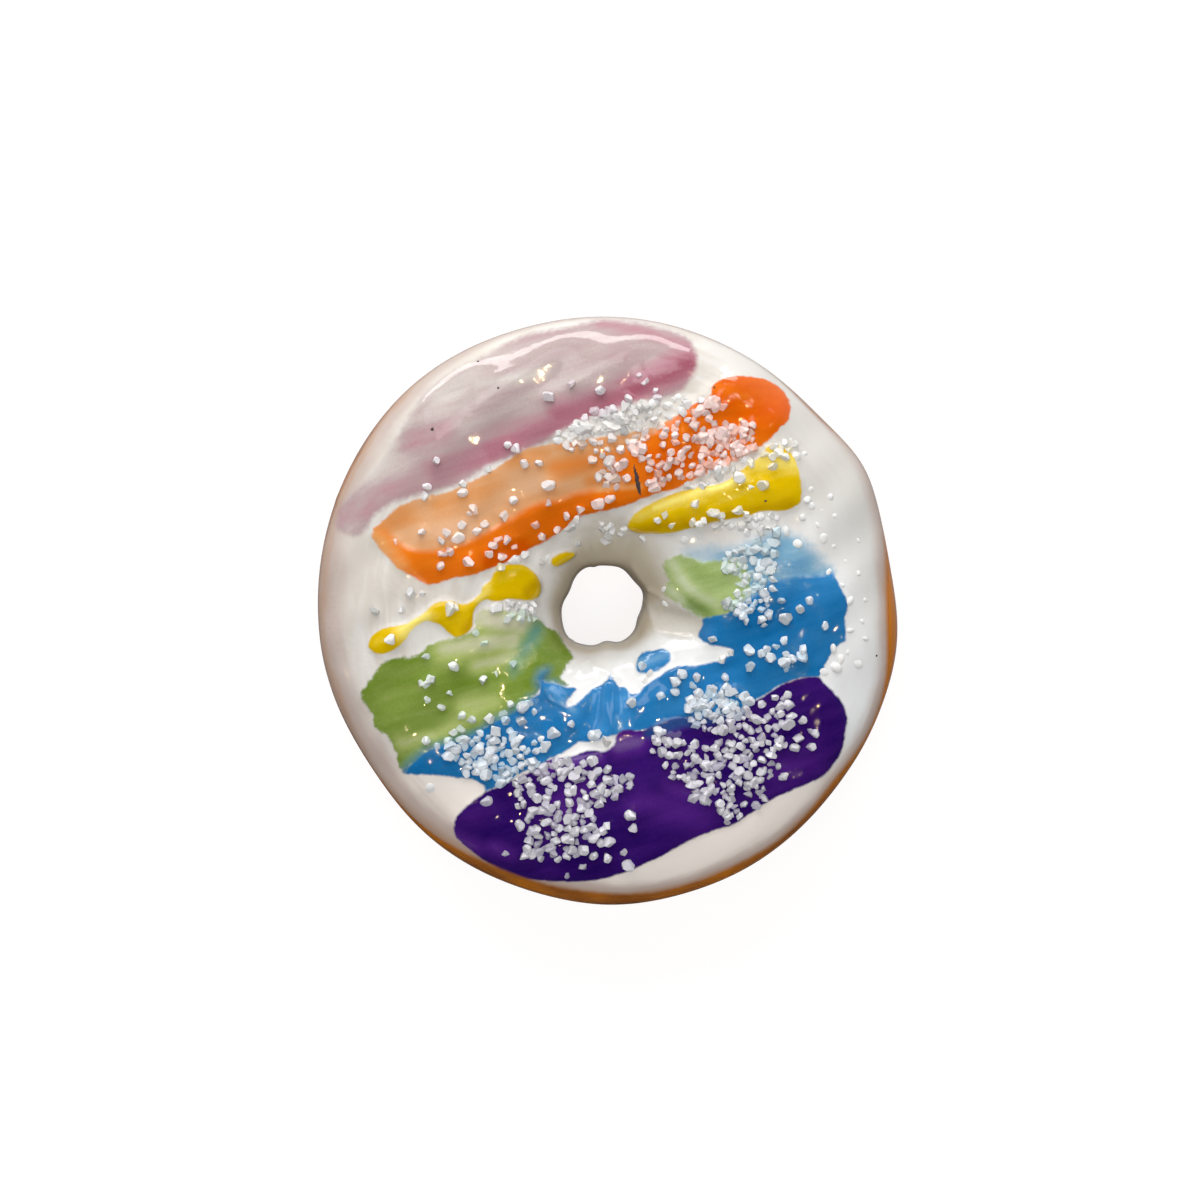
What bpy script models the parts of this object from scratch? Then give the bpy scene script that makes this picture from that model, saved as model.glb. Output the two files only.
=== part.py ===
"""A glazed ceramic ring doughnut, 100 mm across.

A honey-brown ring lies on a flat foot. A thick white icing coat lies over its top,
runs into the hole and ends in a wavy lip on the side, and coarse sugar crystals are
fused into the coat. Metres, +Z up, origin under the middle of the ring.
"""

import math
import random

import bmesh
import bpy
import numpy as np
from mathutils import Matrix, Vector

# Driving sizes of the ring, in metres.
OUTER_RADIUS = 0.0496
HOLE_RADIUS = 0.0072
HOLE_CENTRE = (-0.0011, 0.0009)
WAIST_HEIGHT = 0.0125
CROWN_HEIGHT = 0.0272
FOOT_CUT = 0.0018
RIM_FULLNESS = 3.0
HOLE_FULLNESS = 2.3
UNDERSIDE_FULLNESS = 2.8

# The icing coat: its thickness, how far it stands proud, its lip and the gap under it.
COAT_DEPTH = 0.0011
COAT_PROUD = 0.0003
LIP_DEPTH = 0.0003
LIP_RISE_DEGREES = 16
GAP = 0.0003
LIP_CLEARANCE_DEGREES = 3
LIP_TURN = 5
HOLE_LIP_TURN = 194

# Each hand-pressed place of an outline: direction and width in degrees, height in metres.
OUTER_PRESSES = (
    (10, 10, -0.0006),
    (30, 8, 0.0008),
    (45, 9, -0.0003),
    (90, 24, 0.0007),
    (131, 24, 0.0016),
    (160, 18, 0.0004),
    (213, 16, -0.0010),
    (272, 14, 0.0007),
    (296, 14, 0.0004),
    (323, 10, -0.0002),
    (352, 9, 0.0003),
)
HOLE_PRESSES = (
    (20, 14, 0.0005),
    (62, 16, 0.0004),
    (115, 14, 0.0002),
    (155, 20, -0.0008),
    (224, 22, 0.0008),
    (277, 14, -0.0009),
    (342, 14, -0.0005),
)

# How far the lip stops short of the waist: direction, width and extra turn in degrees.
LIP_WAVES = (
    (358, 14, 24),
    (325, 18, 12),
    (300, 14, 8),
    (270, 18, 22),
    (236, 18, 18),
    (205, 14, 7),
    (150, 36, 4),
    (98, 24, -7),
    (45, 22, 5),
)

# Dents and swellings of the top: middle x and y, half length, half width, tilt, height.
TOP_FORMS = {
    "pocket beside the hole": (0.0124, -0.0022, 0.0050, 0.0034, -6, -0.0016),
    "shelf above the pocket": (0.0150, 0.0042, 0.0065, 0.0032, -14, 0.0008),
    "hollow above the hole": (0.0020, 0.0118, 0.0075, 0.0034, 0, -0.0006),
    "fold below the hole": (0.0005, -0.0166, 0.0056, 0.0013, 86, 0.0007),
    "trough beside the fold": (-0.0022, -0.0166, 0.0056, 0.0014, 88, -0.0004),
    "slanting fold": (-0.0076, -0.0143, 0.0036, 0.0014, -28, 0.0005),
    "lump left of the hole": (-0.0100, -0.0062, 0.0040, 0.0034, 0, 0.0006),
    "orange lobe": (0.0276, 0.0335, 0.0060, 0.0046, -30, 0.0004),
    "yellow bar": (0.0185, 0.0185, 0.0120, 0.0026, 14, 0.0005),
    "purple end": (0.0330, -0.0175, 0.0060, 0.0060, 0, 0.0003),
}
SWELL_HEIGHT = 0.0002
SWELL_LENGTHS = (0.019, 0.013)

# Sugar crystals: middle x and y, half length, half width and tilt of each patch, and count.
CRYSTAL_PATCHES = {
    "orange stroke right": (0.0100, 0.0285, 0.0150, 0.0060, 17, 34),
    "orange stroke left": (-0.0200, 0.0150, 0.0170, 0.0055, 22, 11),
    "yellow bar": (0.0190, 0.0160, 0.0115, 0.0036, 12, 10),
    "right of the hole": (0.0225, 0.0070, 0.0070, 0.0062, 0, 17),
    "blue right": (0.0275, -0.0040, 0.0070, 0.0050, 0, 6),
    "green and blue left": (-0.0148, -0.0222, 0.0120, 0.0050, 8, 18),
    "purple left": (-0.0045, -0.0325, 0.0090, 0.0070, 20, 24),
    "purple right": (0.0205, -0.0240, 0.0115, 0.0078, 20, 30),
}
CRYSTAL_RADIUS = (0.00078, 0.00115)
CRYSTAL_SPACING = 0.0023
CRYSTAL_STANDS_OUT = 0.35
CRYSTAL_SEED = 11

# Faces round the ring, along its covered part and along the coat's outer skin, and the
# rows of points underneath, with the turns of the first and the last.
ROUND_SEGMENTS = 60
COVERED_SEGMENTS = 13
SKIN_SEGMENTS = 20
UNDERSIDE_ROWS = 7
UNDERSIDE_TURNS = (220, 343)

HONEY_GLAZE = (0.42, 0.16, 0.035, 1.0)
WHITE_GLAZE = (0.78, 0.75, 0.70, 1.0)


def presses(direction, places):
    """The sum of the soft bumps of an outline at these directions."""
    total = np.zeros_like(direction)
    for at, width, height in places:
        off = (direction - at + 180) % 360 - 180
        total = total + height * np.exp(-((off / width) ** 2))
    return total


def power(value, exponent):
    return np.sign(value) * np.abs(value) ** exponent


def top_relief(x, y):
    """Height of the dents, folds and slow swells of the top."""
    first, second = (2 * math.pi / length for length in SWELL_LENGTHS)
    relief = SWELL_HEIGHT * (np.sin(first * x + 1.3) * np.cos(first * y) + np.sin(second * (y - x)))
    for middle_x, middle_y, half_length, half_width, tilt, height in TOP_FORMS.values():
        cos_tilt, sin_tilt = math.cos(math.radians(tilt)), math.sin(math.radians(tilt))
        along = ((x - middle_x) * cos_tilt + (y - middle_y) * sin_tilt) / half_length
        across = ((y - middle_y) * cos_tilt - (x - middle_x) * sin_tilt) / half_width
        relief = relief + height * np.exp(-((along**2 + across**2) ** 1.4))
    return relief


def skin(direction, turn):
    """Points of the doughnut's outer surface.

    direction goes round the ring, and turn round its section: 0 at the outer waist,
    90 at the crown, 180 at the waist in the hole and 270 underneath.
    """
    around, tilt = np.radians(direction), np.radians(turn)
    is_top = np.sin(tilt) >= 0
    top_fullness = np.where(np.cos(tilt) > 0, RIM_FULLNESS, HOLE_FULLNESS)
    fullness = np.where(is_top, top_fullness, UNDERSIDE_FULLNESS)
    share = (1 + power(np.cos(tilt), 2 / fullness)) / 2
    rise = np.abs(np.sin(tilt)) ** (2 / fullness)
    inner = HOLE_RADIUS + presses(direction, HOLE_PRESSES)
    outer = OUTER_RADIUS + presses(direction, OUTER_PRESSES)
    radius = inner + (outer - inner) * share
    x = HOLE_CENTRE[0] * (1 - share) + radius * np.cos(around)
    y = HOLE_CENTRE[1] * (1 - share) + radius * np.sin(around)
    facing_up = np.clip(1.6 * np.sin(tilt), 0, 1)
    top = WAIST_HEIGHT + (CROWN_HEIGHT - WAIST_HEIGHT) * rise + facing_up * top_relief(x, y)
    underside = np.maximum(WAIST_HEIGHT - (WAIST_HEIGHT + FOOT_CUT) * rise, 0)
    return np.stack([x, y, np.where(is_top, top, underside)], axis=-1)


def outward(direction, turn):
    """Unit vectors that point out of the skin."""
    step = 0.5
    along = skin(direction + step, turn) - skin(direction - step, turn)
    around = skin(direction, turn + step) - skin(direction, turn - step)
    normal = np.cross(along, around)
    return normal / np.linalg.norm(normal, axis=-1, keepdims=True)


def lips(direction):
    """The turns at which the coat ends, on the side and in the hole."""
    side = LIP_TURN + presses(direction, LIP_WAVES)
    hole = HOLE_LIP_TURN + 4 * np.sin(np.radians(3 * direction))
    return side, hole


def coat_share(direction, turn):
    """0 at the coat's lips, rising to 1 where the coat has its full thickness."""
    side, hole = lips(direction)
    from_lip = np.minimum(turn - side, hole - turn) / LIP_RISE_DEGREES
    return np.clip(from_lip, 0, 1) ** 0.5


def coat_top(direction, turn):
    lift = COAT_PROUD * (0.5 + 0.5 * coat_share(direction, turn))
    return skin(direction, turn) + outward(direction, turn) * lift[..., None]


def coat_underside(direction, turn):
    depth = LIP_DEPTH + (COAT_DEPTH - LIP_DEPTH) * coat_share(direction, turn)
    return skin(direction, turn) - outward(direction, turn) * depth[..., None]


def ring_under_coat(direction, turn):
    depth = GAP + LIP_DEPTH + (COAT_DEPTH - LIP_DEPTH) * coat_share(direction, turn)
    return skin(direction, turn) - outward(direction, turn) * depth[..., None]


def ring_mesh(name, section_points, diagonals):
    """A torus primitive whose rings of vertices are moved to the section's points.

    section_points holds one array of points for each step round the section, and
    each array has one point for each step round the ring. The facing sides of the ring
    and the coat run opposite ways round, so opposite diagonals keep their faces parallel.
    """
    steps = len(section_points)
    bpy.ops.mesh.primitive_torus_add(
        major_segments=ROUND_SEGMENTS,
        minor_segments=steps,
        major_radius=OUTER_RADIUS / 2,
        minor_radius=OUTER_RADIUS / 4,
    )
    ring = bpy.context.active_object
    ring.name = name
    for vertex in ring.data.vertices:
        x, y, z = vertex.co
        direction = math.atan2(y, x)
        turn = math.atan2(z, math.hypot(x, y) - OUTER_RADIUS / 2)
        column = round(direction / (2 * math.pi) * ROUND_SEGMENTS) % ROUND_SEGMENTS
        row = round(turn / (2 * math.pi) * steps) % steps
        vertex.co = section_points[row][column]
    faces = bmesh.new()
    faces.from_mesh(ring.data)
    bmesh.ops.triangulate(faces, faces=faces.faces, quad_method=diagonals)
    faces.to_mesh(ring.data)
    faces.free()
    ring.data.shade_smooth()
    return ring


def glaze(name, colour, roughness):
    material = bpy.data.materials.new(name)
    material.use_nodes = True
    shader = material.node_tree.nodes["Principled BSDF"]
    shader.inputs["Base Color"].default_value = colour
    shader.inputs["Roughness"].default_value = roughness
    shader.inputs["Metallic"].default_value = 0.0
    return material


def steps_between(first, last, count):
    """count + 1 turns from first to last, for each direction."""
    return [first + (last - first) * k / count for k in range(count + 1)]


def make_ring(directions):
    """The honey-brown body: sunk under the coat, at the skin's own level below its lips."""
    side, hole = lips(directions)
    covered = steps_between(side, hole, COVERED_SEGMENTS)
    below_hole_lip = hole + LIP_CLEARANCE_DEGREES
    below_side_lip = side + 360 - LIP_CLEARANCE_DEGREES
    underneath = [np.full_like(side, turn) for turn in np.linspace(*UNDERSIDE_TURNS, UNDERSIDE_ROWS)]
    widest = (underneath[-1] + below_side_lip) / 2
    bare = [below_hole_lip, *underneath, widest, below_side_lip]
    points = [ring_under_coat(directions, turn) for turn in covered]
    points += [skin(directions, turn) for turn in bare]
    return ring_mesh("doughnut_ring", points, "FIXED")


def make_icing(directions):
    """The white coat: a thin ring whose section runs over the top and back underneath."""
    side, hole = lips(directions)
    over = steps_between(side, hole, SKIN_SEGMENTS)
    back = steps_between(hole, side, COVERED_SEGMENTS)
    points = [coat_top(directions, turn) for turn in over]
    points += [coat_underside(directions, turn) for turn in back]
    return ring_mesh("icing", points, "ALTERNATE")


def place_on_coat(x, y):
    """The coat's top point and normal above x, y."""
    share = 0.5
    for _ in range(8):
        off_x = x - HOLE_CENTRE[0] * (1 - share)
        off_y = y - HOLE_CENTRE[1] * (1 - share)
        direction = np.array(math.degrees(math.atan2(off_y, off_x)))
        inner = float(HOLE_RADIUS + presses(direction, HOLE_PRESSES))
        outer = float(OUTER_RADIUS + presses(direction, OUTER_PRESSES))
        share = (math.hypot(off_x, off_y) - inner) / (outer - inner)
    across = min(max(2 * share - 1, -0.98), 0.98)
    fullness = RIM_FULLNESS if across > 0 else HOLE_FULLNESS
    turn = np.array(math.degrees(math.acos(power(across, fullness / 2))))
    return Vector(coat_top(direction, turn)), Vector(outward(direction, turn))


def crystal_places(draw):
    """Places in the patches, none closer to another than the crystals' spacing."""
    places = []
    for middle_x, middle_y, half_length, half_width, tilt, count in CRYSTAL_PATCHES.values():
        wanted = len(places) + count
        turned = Matrix.Rotation(math.radians(tilt), 2)
        for _ in range(80 * count):
            along, across = draw.gauss(0, 0.55), draw.gauss(0, 0.55)
            if math.hypot(along, across) > 1.1:
                continue
            offset = turned @ Vector((along * half_length, across * half_width))
            place = Vector((middle_x, middle_y)) + offset
            if all((place - other).length > CRYSTAL_SPACING for other in places):
                places.append(place)
            if len(places) == wanted:
                break
    return places


def add_crystals(collection):
    """Angular grains, each an icosahedron pulled out of shape and sunk into the coat."""
    draw = random.Random(CRYSTAL_SEED)
    for number, place in enumerate(crystal_places(draw)):
        radius = draw.uniform(*CRYSTAL_RADIUS)
        point, normal = place_on_coat(place.x, place.y)
        grain = bmesh.new()
        bmesh.ops.create_icosphere(grain, subdivisions=1, radius=radius)
        for vertex in grain.verts:
            vertex.co *= draw.uniform(0.82, 1.12)
        turned = Matrix.Rotation(draw.uniform(0, 2 * math.pi), 4, "Z")
        lying = normal.to_track_quat("Z", "Y").to_matrix().to_4x4()
        stretched = Matrix.Diagonal((draw.uniform(1.0, 1.25), draw.uniform(0.8, 1.0), 0.9, 1.0))
        centre = point + normal * radius * CRYSTAL_STANDS_OUT
        grain.transform(Matrix.Translation(centre) @ lying @ turned @ stretched)
        mesh = bpy.data.meshes.new(f"crystal_{number}")
        grain.to_mesh(mesh)
        grain.free()
        collection.objects.link(bpy.data.objects.new(f"crystal_{number}", mesh))


def fuse(body, collection):
    """Joins all of the collection's objects to the body and removes them."""
    union = body.modifiers.new("crystals", "BOOLEAN")
    union.operation = "UNION"
    union.operand_type = "COLLECTION"
    union.collection = collection
    union.solver = "EXACT"
    bpy.context.view_layer.objects.active = body
    bpy.ops.object.modifier_apply(modifier=union.name)
    for grain in list(collection.objects):
        bpy.data.meshes.remove(grain.data)
    bpy.data.collections.remove(collection)


for leftover in list(bpy.data.objects):
    bpy.data.objects.remove(leftover, do_unlink=True)

doughnut = bpy.data.collections.new("sprinkle_frosted_doughnut")
bpy.context.scene.collection.children.link(doughnut)
sugar = bpy.data.collections.new("sugar_crystals")
bpy.context.scene.collection.children.link(sugar)

ring_directions = np.arange(ROUND_SEGMENTS) * 360 / ROUND_SEGMENTS
ring_body = make_ring(ring_directions)
ring_body.data.materials.append(glaze("honey_glaze", HONEY_GLAZE, 0.15))
icing_coat = make_icing(ring_directions)
add_crystals(sugar)
fuse(icing_coat, sugar)
icing_coat.data.materials.clear()
icing_coat.data.materials.append(glaze("white_glaze", WHITE_GLAZE, 0.12))

for piece in (ring_body, icing_coat):
    for holder in list(piece.users_collection):
        holder.objects.unlink(piece)
    doughnut.objects.link(piece)
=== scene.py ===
import math
import random

import bpy
import numpy as np
from mathutils import Matrix, Vector


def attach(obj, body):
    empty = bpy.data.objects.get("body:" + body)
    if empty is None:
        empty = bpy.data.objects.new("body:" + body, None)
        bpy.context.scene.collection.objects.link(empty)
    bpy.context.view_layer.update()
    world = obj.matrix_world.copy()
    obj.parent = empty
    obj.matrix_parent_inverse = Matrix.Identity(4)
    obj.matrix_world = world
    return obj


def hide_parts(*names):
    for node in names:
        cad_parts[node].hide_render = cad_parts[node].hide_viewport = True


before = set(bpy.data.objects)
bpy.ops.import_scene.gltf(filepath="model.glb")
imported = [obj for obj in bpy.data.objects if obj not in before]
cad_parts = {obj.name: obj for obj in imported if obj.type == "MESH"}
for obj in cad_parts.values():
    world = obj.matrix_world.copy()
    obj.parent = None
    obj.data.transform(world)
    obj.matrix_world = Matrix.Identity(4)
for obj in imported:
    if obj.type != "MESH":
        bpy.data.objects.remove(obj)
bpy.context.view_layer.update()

# The doughnut's body is one hand-pressed ring of clay under a honey-brown glaze, with a flat foot.
# It shows as an uneven band below the icing on the right, the lower side and the left, and its
# whole underside is bare honey glaze, fired with the rest.
OUTER_RADIUS = 0.0496
HOLE_RADIUS = 0.0072
HOLE_CENTRE = (-0.0011, 0.0009)
WAIST_HEIGHT = 0.0125
CROWN_HEIGHT = 0.0272
FOOT_CUT = 0.0018
RIM_FULLNESS = 3.0
HOLE_FULLNESS = 2.3
UNDERSIDE_FULLNESS = 2.8
LIP_TURN = 5
HOLE_LIP_TURN = 194
HOLE_LIP_WAVES = 3
HOLE_LIP_WAVE_HEIGHT = 4

# Where the outlines were pressed out or in, and where the icing stops higher up the side:
# direction and width in degrees, and height in metres, or degrees of turn for the icing's lip.
OUTER_PRESSES = (
    (10, 10, -0.0006),
    (30, 8, 0.0008),
    (45, 9, -0.0003),
    (90, 24, 0.0007),
    (131, 24, 0.0016),
    (160, 18, 0.0004),
    (213, 16, -0.0010),
    (272, 14, 0.0007),
    (296, 14, 0.0004),
    (323, 10, -0.0002),
    (352, 9, 0.0003),
)
HOLE_PRESSES = (
    (20, 14, 0.0005),
    (62, 16, 0.0004),
    (115, 14, 0.0002),
    (155, 20, -0.0008),
    (224, 22, 0.0008),
    (277, 14, -0.0009),
    (342, 14, -0.0005),
)
LIP_WAVES = (
    (358, 14, 24),
    (325, 18, 12),
    (300, 14, 8),
    (270, 18, 22),
    (236, 18, 18),
    (205, 14, 7),
    (150, 36, 4),
    (98, 24, -7),
    (45, 22, 5),
)

# Dents and folds of the top: middle x and y, half length, half width, tilt in degrees, height.
TOP_FORMS = {
    "pocket beside the hole": (0.0124, -0.0022, 0.0050, 0.0034, -6, -0.0016),
    "shelf above the pocket": (0.0150, 0.0042, 0.0065, 0.0032, -14, 0.0008),
    "hollow above the hole": (0.0020, 0.0118, 0.0075, 0.0034, 0, -0.0006),
    "fold below the hole": (0.0005, -0.0166, 0.0056, 0.0013, 86, 0.0007),
    "trough beside the fold": (-0.0022, -0.0166, 0.0056, 0.0014, 88, -0.0004),
    "slanting fold": (-0.0076, -0.0143, 0.0036, 0.0014, -28, 0.0005),
    "lump left of the hole": (-0.0100, -0.0062, 0.0040, 0.0034, 0, 0.0006),
    "orange lobe": (0.0276, 0.0335, 0.0060, 0.0046, -30, 0.0004),
    "yellow bar": (0.0185, 0.0185, 0.0120, 0.0026, 14, 0.0005),
    "purple end": (0.0330, -0.0175, 0.0060, 0.0060, 0, 0.0003),
}
FORM_FLATNESS = 1.4
SWELL_HEIGHT = 0.0002
SWELL_LENGTHS = (0.019, 0.013)
SWELL_START = 1.3
RELIEF_FADE = 1.6
RING_AROUND = 240
RING_COVERED_ROWS = 20
RING_BARE_ROWS = 100
COVERED_DEPTH = 0.0011
LIP_RISE_DEGREES = 16


def presses(direction, places):
    """The sum of the soft bumps of an outline at these directions, in degrees."""
    total = np.zeros_like(direction)
    for at, width, height in places:
        off = (direction - at + 180) % 360 - 180
        total = total + height * np.exp(-((off / width) ** 2))
    return total


def power(value, exponent):
    """A power that keeps its value's sign."""
    return np.sign(value) * np.abs(value) ** exponent


def top_relief(x, y):
    """Height of the dents, folds and slow swells of the top."""
    first, second = (2 * math.pi / length for length in SWELL_LENGTHS)
    waves = np.sin(first * x + SWELL_START) * np.cos(first * y) + np.sin(second * (y - x))
    relief = SWELL_HEIGHT * waves
    for middle_x, middle_y, half_length, half_width, tilt, height in TOP_FORMS.values():
        cos_tilt, sin_tilt = math.cos(math.radians(tilt)), math.sin(math.radians(tilt))
        along = ((x - middle_x) * cos_tilt + (y - middle_y) * sin_tilt) / half_length
        across = ((y - middle_y) * cos_tilt - (x - middle_x) * sin_tilt) / half_width
        relief = relief + height * np.exp(-((along**2 + across**2) ** FORM_FLATNESS))
    return relief


def skin(direction, turn):
    """Points of the skin: turn 0 is the outer waist, 90 the crown, 180 the waist in the hole."""
    around, tilt = np.radians(direction), np.radians(turn)
    is_top = np.sin(tilt) >= 0
    top_fullness = np.where(np.cos(tilt) > 0, RIM_FULLNESS, HOLE_FULLNESS)
    fullness = np.where(is_top, top_fullness, UNDERSIDE_FULLNESS)
    share = (1 + power(np.cos(tilt), 2 / fullness)) / 2
    rise = np.abs(np.sin(tilt)) ** (2 / fullness)
    inner = HOLE_RADIUS + presses(direction, HOLE_PRESSES)
    outer = OUTER_RADIUS + presses(direction, OUTER_PRESSES)
    radius = inner + (outer - inner) * share
    x = HOLE_CENTRE[0] * (1 - share) + radius * np.cos(around)
    y = HOLE_CENTRE[1] * (1 - share) + radius * np.sin(around)
    facing_up = np.clip(RELIEF_FADE * np.sin(tilt), 0, 1)
    top = WAIST_HEIGHT + (CROWN_HEIGHT - WAIST_HEIGHT) * rise + facing_up * top_relief(x, y)
    underside = np.maximum(WAIST_HEIGHT - (WAIST_HEIGHT + FOOT_CUT) * rise, 0)
    return np.stack([x, y, np.where(is_top, top, underside)], axis=-1)


def outward(direction, turn):
    """Unit vectors that point out of the skin."""
    step = 0.5
    along = skin(direction + step, turn) - skin(direction - step, turn)
    around = skin(direction, turn + step) - skin(direction, turn - step)
    normal = np.cross(along, around)
    return normal / np.linalg.norm(normal, axis=-1, keepdims=True)


def lips(direction):
    """The turns at which the icing ends, on the side and in the hole."""
    side = LIP_TURN + presses(direction, LIP_WAVES)
    hole = HOLE_LIP_TURN + HOLE_LIP_WAVE_HEIGHT * np.sin(np.radians(HOLE_LIP_WAVES * direction))
    return side, hole


def coat_share(direction, turn):
    """0 at the icing's lips, rising to 1 where it has its full thickness."""
    side, hole = lips(direction)
    from_lip = np.minimum(turn - side, hole - turn) / LIP_RISE_DEGREES
    return np.clip(from_lip, 0, 1) ** 0.5


FINE_TURNS = np.linspace(-30, 400, 4301)
fine_points = skin(np.zeros_like(FINE_TURNS), FINE_TURNS)
fine_steps = np.linalg.norm(np.diff(fine_points, axis=0), axis=1)
WALKED = np.concatenate([[0], np.cumsum(fine_steps)])


def walked(turn):
    """How far round the section a turn lies, in metres."""
    return np.interp(turn, FINE_TURNS, WALKED)


def even_turns(first, last, count):
    """Turns at even distances along the skin, from first up to but not including last."""
    start, end = walked(first), walked(last)
    return [np.interp(start + (end - start) * k / count, WALKED, FINE_TURNS) for k in range(count)]


def pressed_torus(name, sections):
    """A torus primitive whose rings of points are moved to the points of the sections."""
    steps, around = len(sections), len(sections[0])
    middle = OUTER_RADIUS / 2
    bpy.ops.object.select_all(action="DESELECT")
    bpy.ops.mesh.primitive_torus_add(
        major_segments=around, minor_segments=steps, major_radius=middle, minor_radius=middle / 2
    )
    ring = bpy.context.active_object
    ring.name = name
    places = np.empty(3 * len(ring.data.vertices))
    ring.data.vertices.foreach_get("co", places)
    x, y, z = places.reshape(-1, 3).T
    column = np.rint(np.arctan2(y, x) / (2 * math.pi) * around).astype(int) % around
    tube = np.arctan2(z, np.hypot(x, y) - middle)
    row = np.rint(tube / (2 * math.pi) * steps).astype(int) % steps
    ring.data.vertices.foreach_set("co", np.asarray(sections)[row, column].ravel())
    ring.data.update()
    ring.data.shade_smooth()
    return ring, row, column


class Tone:
    """A number that varies over a surface. Python's operators on it add the Math nodes."""

    def __init__(self, finish, socket):
        self.finish = finish
        self.socket = socket

    def maths(self, operation, *values):
        return self.finish.tone("ShaderNodeMath", {"operation": operation}, dict(enumerate(values)))

    def __add__(self, other):
        return self.maths("ADD", self, other)

    def __radd__(self, other):
        return self.maths("ADD", other, self)

    def __sub__(self, other):
        return self.maths("SUBTRACT", self, other)

    def __rsub__(self, other):
        return self.maths("SUBTRACT", other, self)

    def __mul__(self, other):
        return self.maths("MULTIPLY", self, other)

    def __rmul__(self, other):
        return self.maths("MULTIPLY", other, self)


class Finish:
    """The nodes of one material round its Principled shader."""

    def __init__(self, name, constants):
        self.material = bpy.data.materials.new(name)
        self.material.use_nodes = True
        self.tree = self.material.node_tree
        self.shader = self.tree.nodes["Principled BSDF"]
        for socket, value in constants.items():
            self.surface(socket, value)
        self.where = self.node("ShaderNodeTexCoord").outputs["Object"]

    def surface(self, socket, value):
        """Gives one of the shader's own sockets a value, or what varies over the surface."""
        self.feed(self.shader.inputs[socket], value)

    def node(self, kind, settings=None, sockets=None):
        """A node of any kind: its settings first, a ramp's stops among them, then its sockets."""
        made = self.tree.nodes.new(kind)
        for name, value in (settings or {}).items():
            if name == "stops":
                for _ in value[2:]:
                    made.color_ramp.elements.new(0.5)
                for stop, (place, colour) in zip(made.color_ramp.elements, value):
                    stop.position = place
                    stop.color = colour
            else:
                setattr(made, name, value)
        for name, value in (sockets or {}).items():
            self.feed(made.inputs[name], value)
        return made

    def feed(self, socket, value):
        if isinstance(value, Tone):
            value = value.socket
        if isinstance(value, bpy.types.NodeSocket):
            self.tree.links.new(value, socket)
        else:
            socket.default_value = value

    def tone(self, kind, settings, sockets, output=0):
        return Tone(self, self.node(kind, settings, sockets).outputs[output])

    def kept(self, name):
        """A number that the mesh keeps at each of its points."""
        return self.tone("ShaderNodeAttribute", {"attribute_name": name}, {}, "Fac")

    def noise(self, size, detail, where=None):
        """Noise from 0 to 1 whose lumps are about this big, in metres."""
        sockets = {"Vector": where or self.where, "Scale": 1 / size, "Detail": detail}
        return self.tone("ShaderNodeTexNoise", {}, sockets, "Fac")

    def rise(self, value, low, high, to_low=0.0, to_high=1.0):
        """A soft step from to_low at low up to to_high at high."""
        sockets = {"Value": value, "From Min": low, "From Max": high}
        sockets.update({"To Min": to_low, "To Max": to_high})
        return self.tone("ShaderNodeMapRange", {"interpolation_type": "SMOOTHSTEP"}, sockets)

    def mix(self, first, second, share):
        """A colour between two colours."""
        sockets = {0: share, 6: first, 7: second}
        return self.node("ShaderNodeMix", {"data_type": "RGBA"}, sockets).outputs[2]

    def ramp(self, value, *stops):
        return self.node("ShaderNodeValToRGB", {"stops": stops}, {"Fac": value}).outputs["Color"]

    def bump(self, height, distance, strength):
        """Relief in the finish: a height from 0 to 1 that stands for this distance in metres."""
        sockets = {"Height": height, "Distance": distance, "Strength": strength}
        self.surface("Normal", self.node("ShaderNodeBump", {}, sockets).outputs[0])


def shade(red, green, blue):
    """A colour given as a screen shows it, 0 to 255, as the light that it stands for."""
    levels = [value / 255 for value in (red, green, blue)]
    linear = [v / 12.92 if v <= 0.04045 else ((v + 0.055) / 1.055) ** 2.4 for v in levels]
    return (*linear, 1.0)


GLAZE_IOR = 1.5
AMBER = shade(198, 116, 0)
TOFFEE = shade(164, 98, 34)
DARK_CARAMEL = shade(132, 74, 22)


def honey_colour(finish):
    """Amber where the glaze pools on the right, browner where it is thin."""
    pooled = finish.noise(size=0.012, detail=3.0)
    runs = finish.noise(size=0.0025, detail=4.0)
    east = finish.tone("ShaderNodeSeparateXYZ", {}, {0: finish.where}, "X")
    brown = finish.ramp(pooled, (0.32, DARK_CARAMEL), (0.50, TOFFEE), (0.72, AMBER))
    colour = finish.mix(brown, AMBER, finish.rise(east, low=0.036, high=0.047) * 0.9)
    return finish.mix(colour, DARK_CARAMEL, finish.rise(runs, low=0.56, high=0.74) * 0.30)


def honey_glaze():
    finish = Finish("honey glaze", {"Roughness": 0.09, "IOR": GLAZE_IOR})
    finish.surface("Base Color", honey_colour(finish))
    finish.bump(finish.noise(size=0.006, detail=3.0), distance=0.0002, strength=0.6)
    return finish.material


ring_directions = np.arange(RING_AROUND) * 360 / RING_AROUND
side_lip, hole_lip = lips(ring_directions)
ring_sections = []
for turn in even_turns(side_lip, hole_lip, RING_COVERED_ROWS):
    sunk = COVERED_DEPTH * coat_share(ring_directions, turn) ** 2
    ring_sections.append(skin(ring_directions, turn) - outward(ring_directions, turn) * sunk[:, None])
for turn in even_turns(hole_lip, side_lip + 360, RING_BARE_ROWS):
    ring_sections.append(skin(ring_directions, turn))
ring_body = pressed_torus("ring_body", ring_sections)[0]
ring_body.data.materials.append(honey_glaze())
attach(ring_body, "root")
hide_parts("doughnut_ring")

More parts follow.
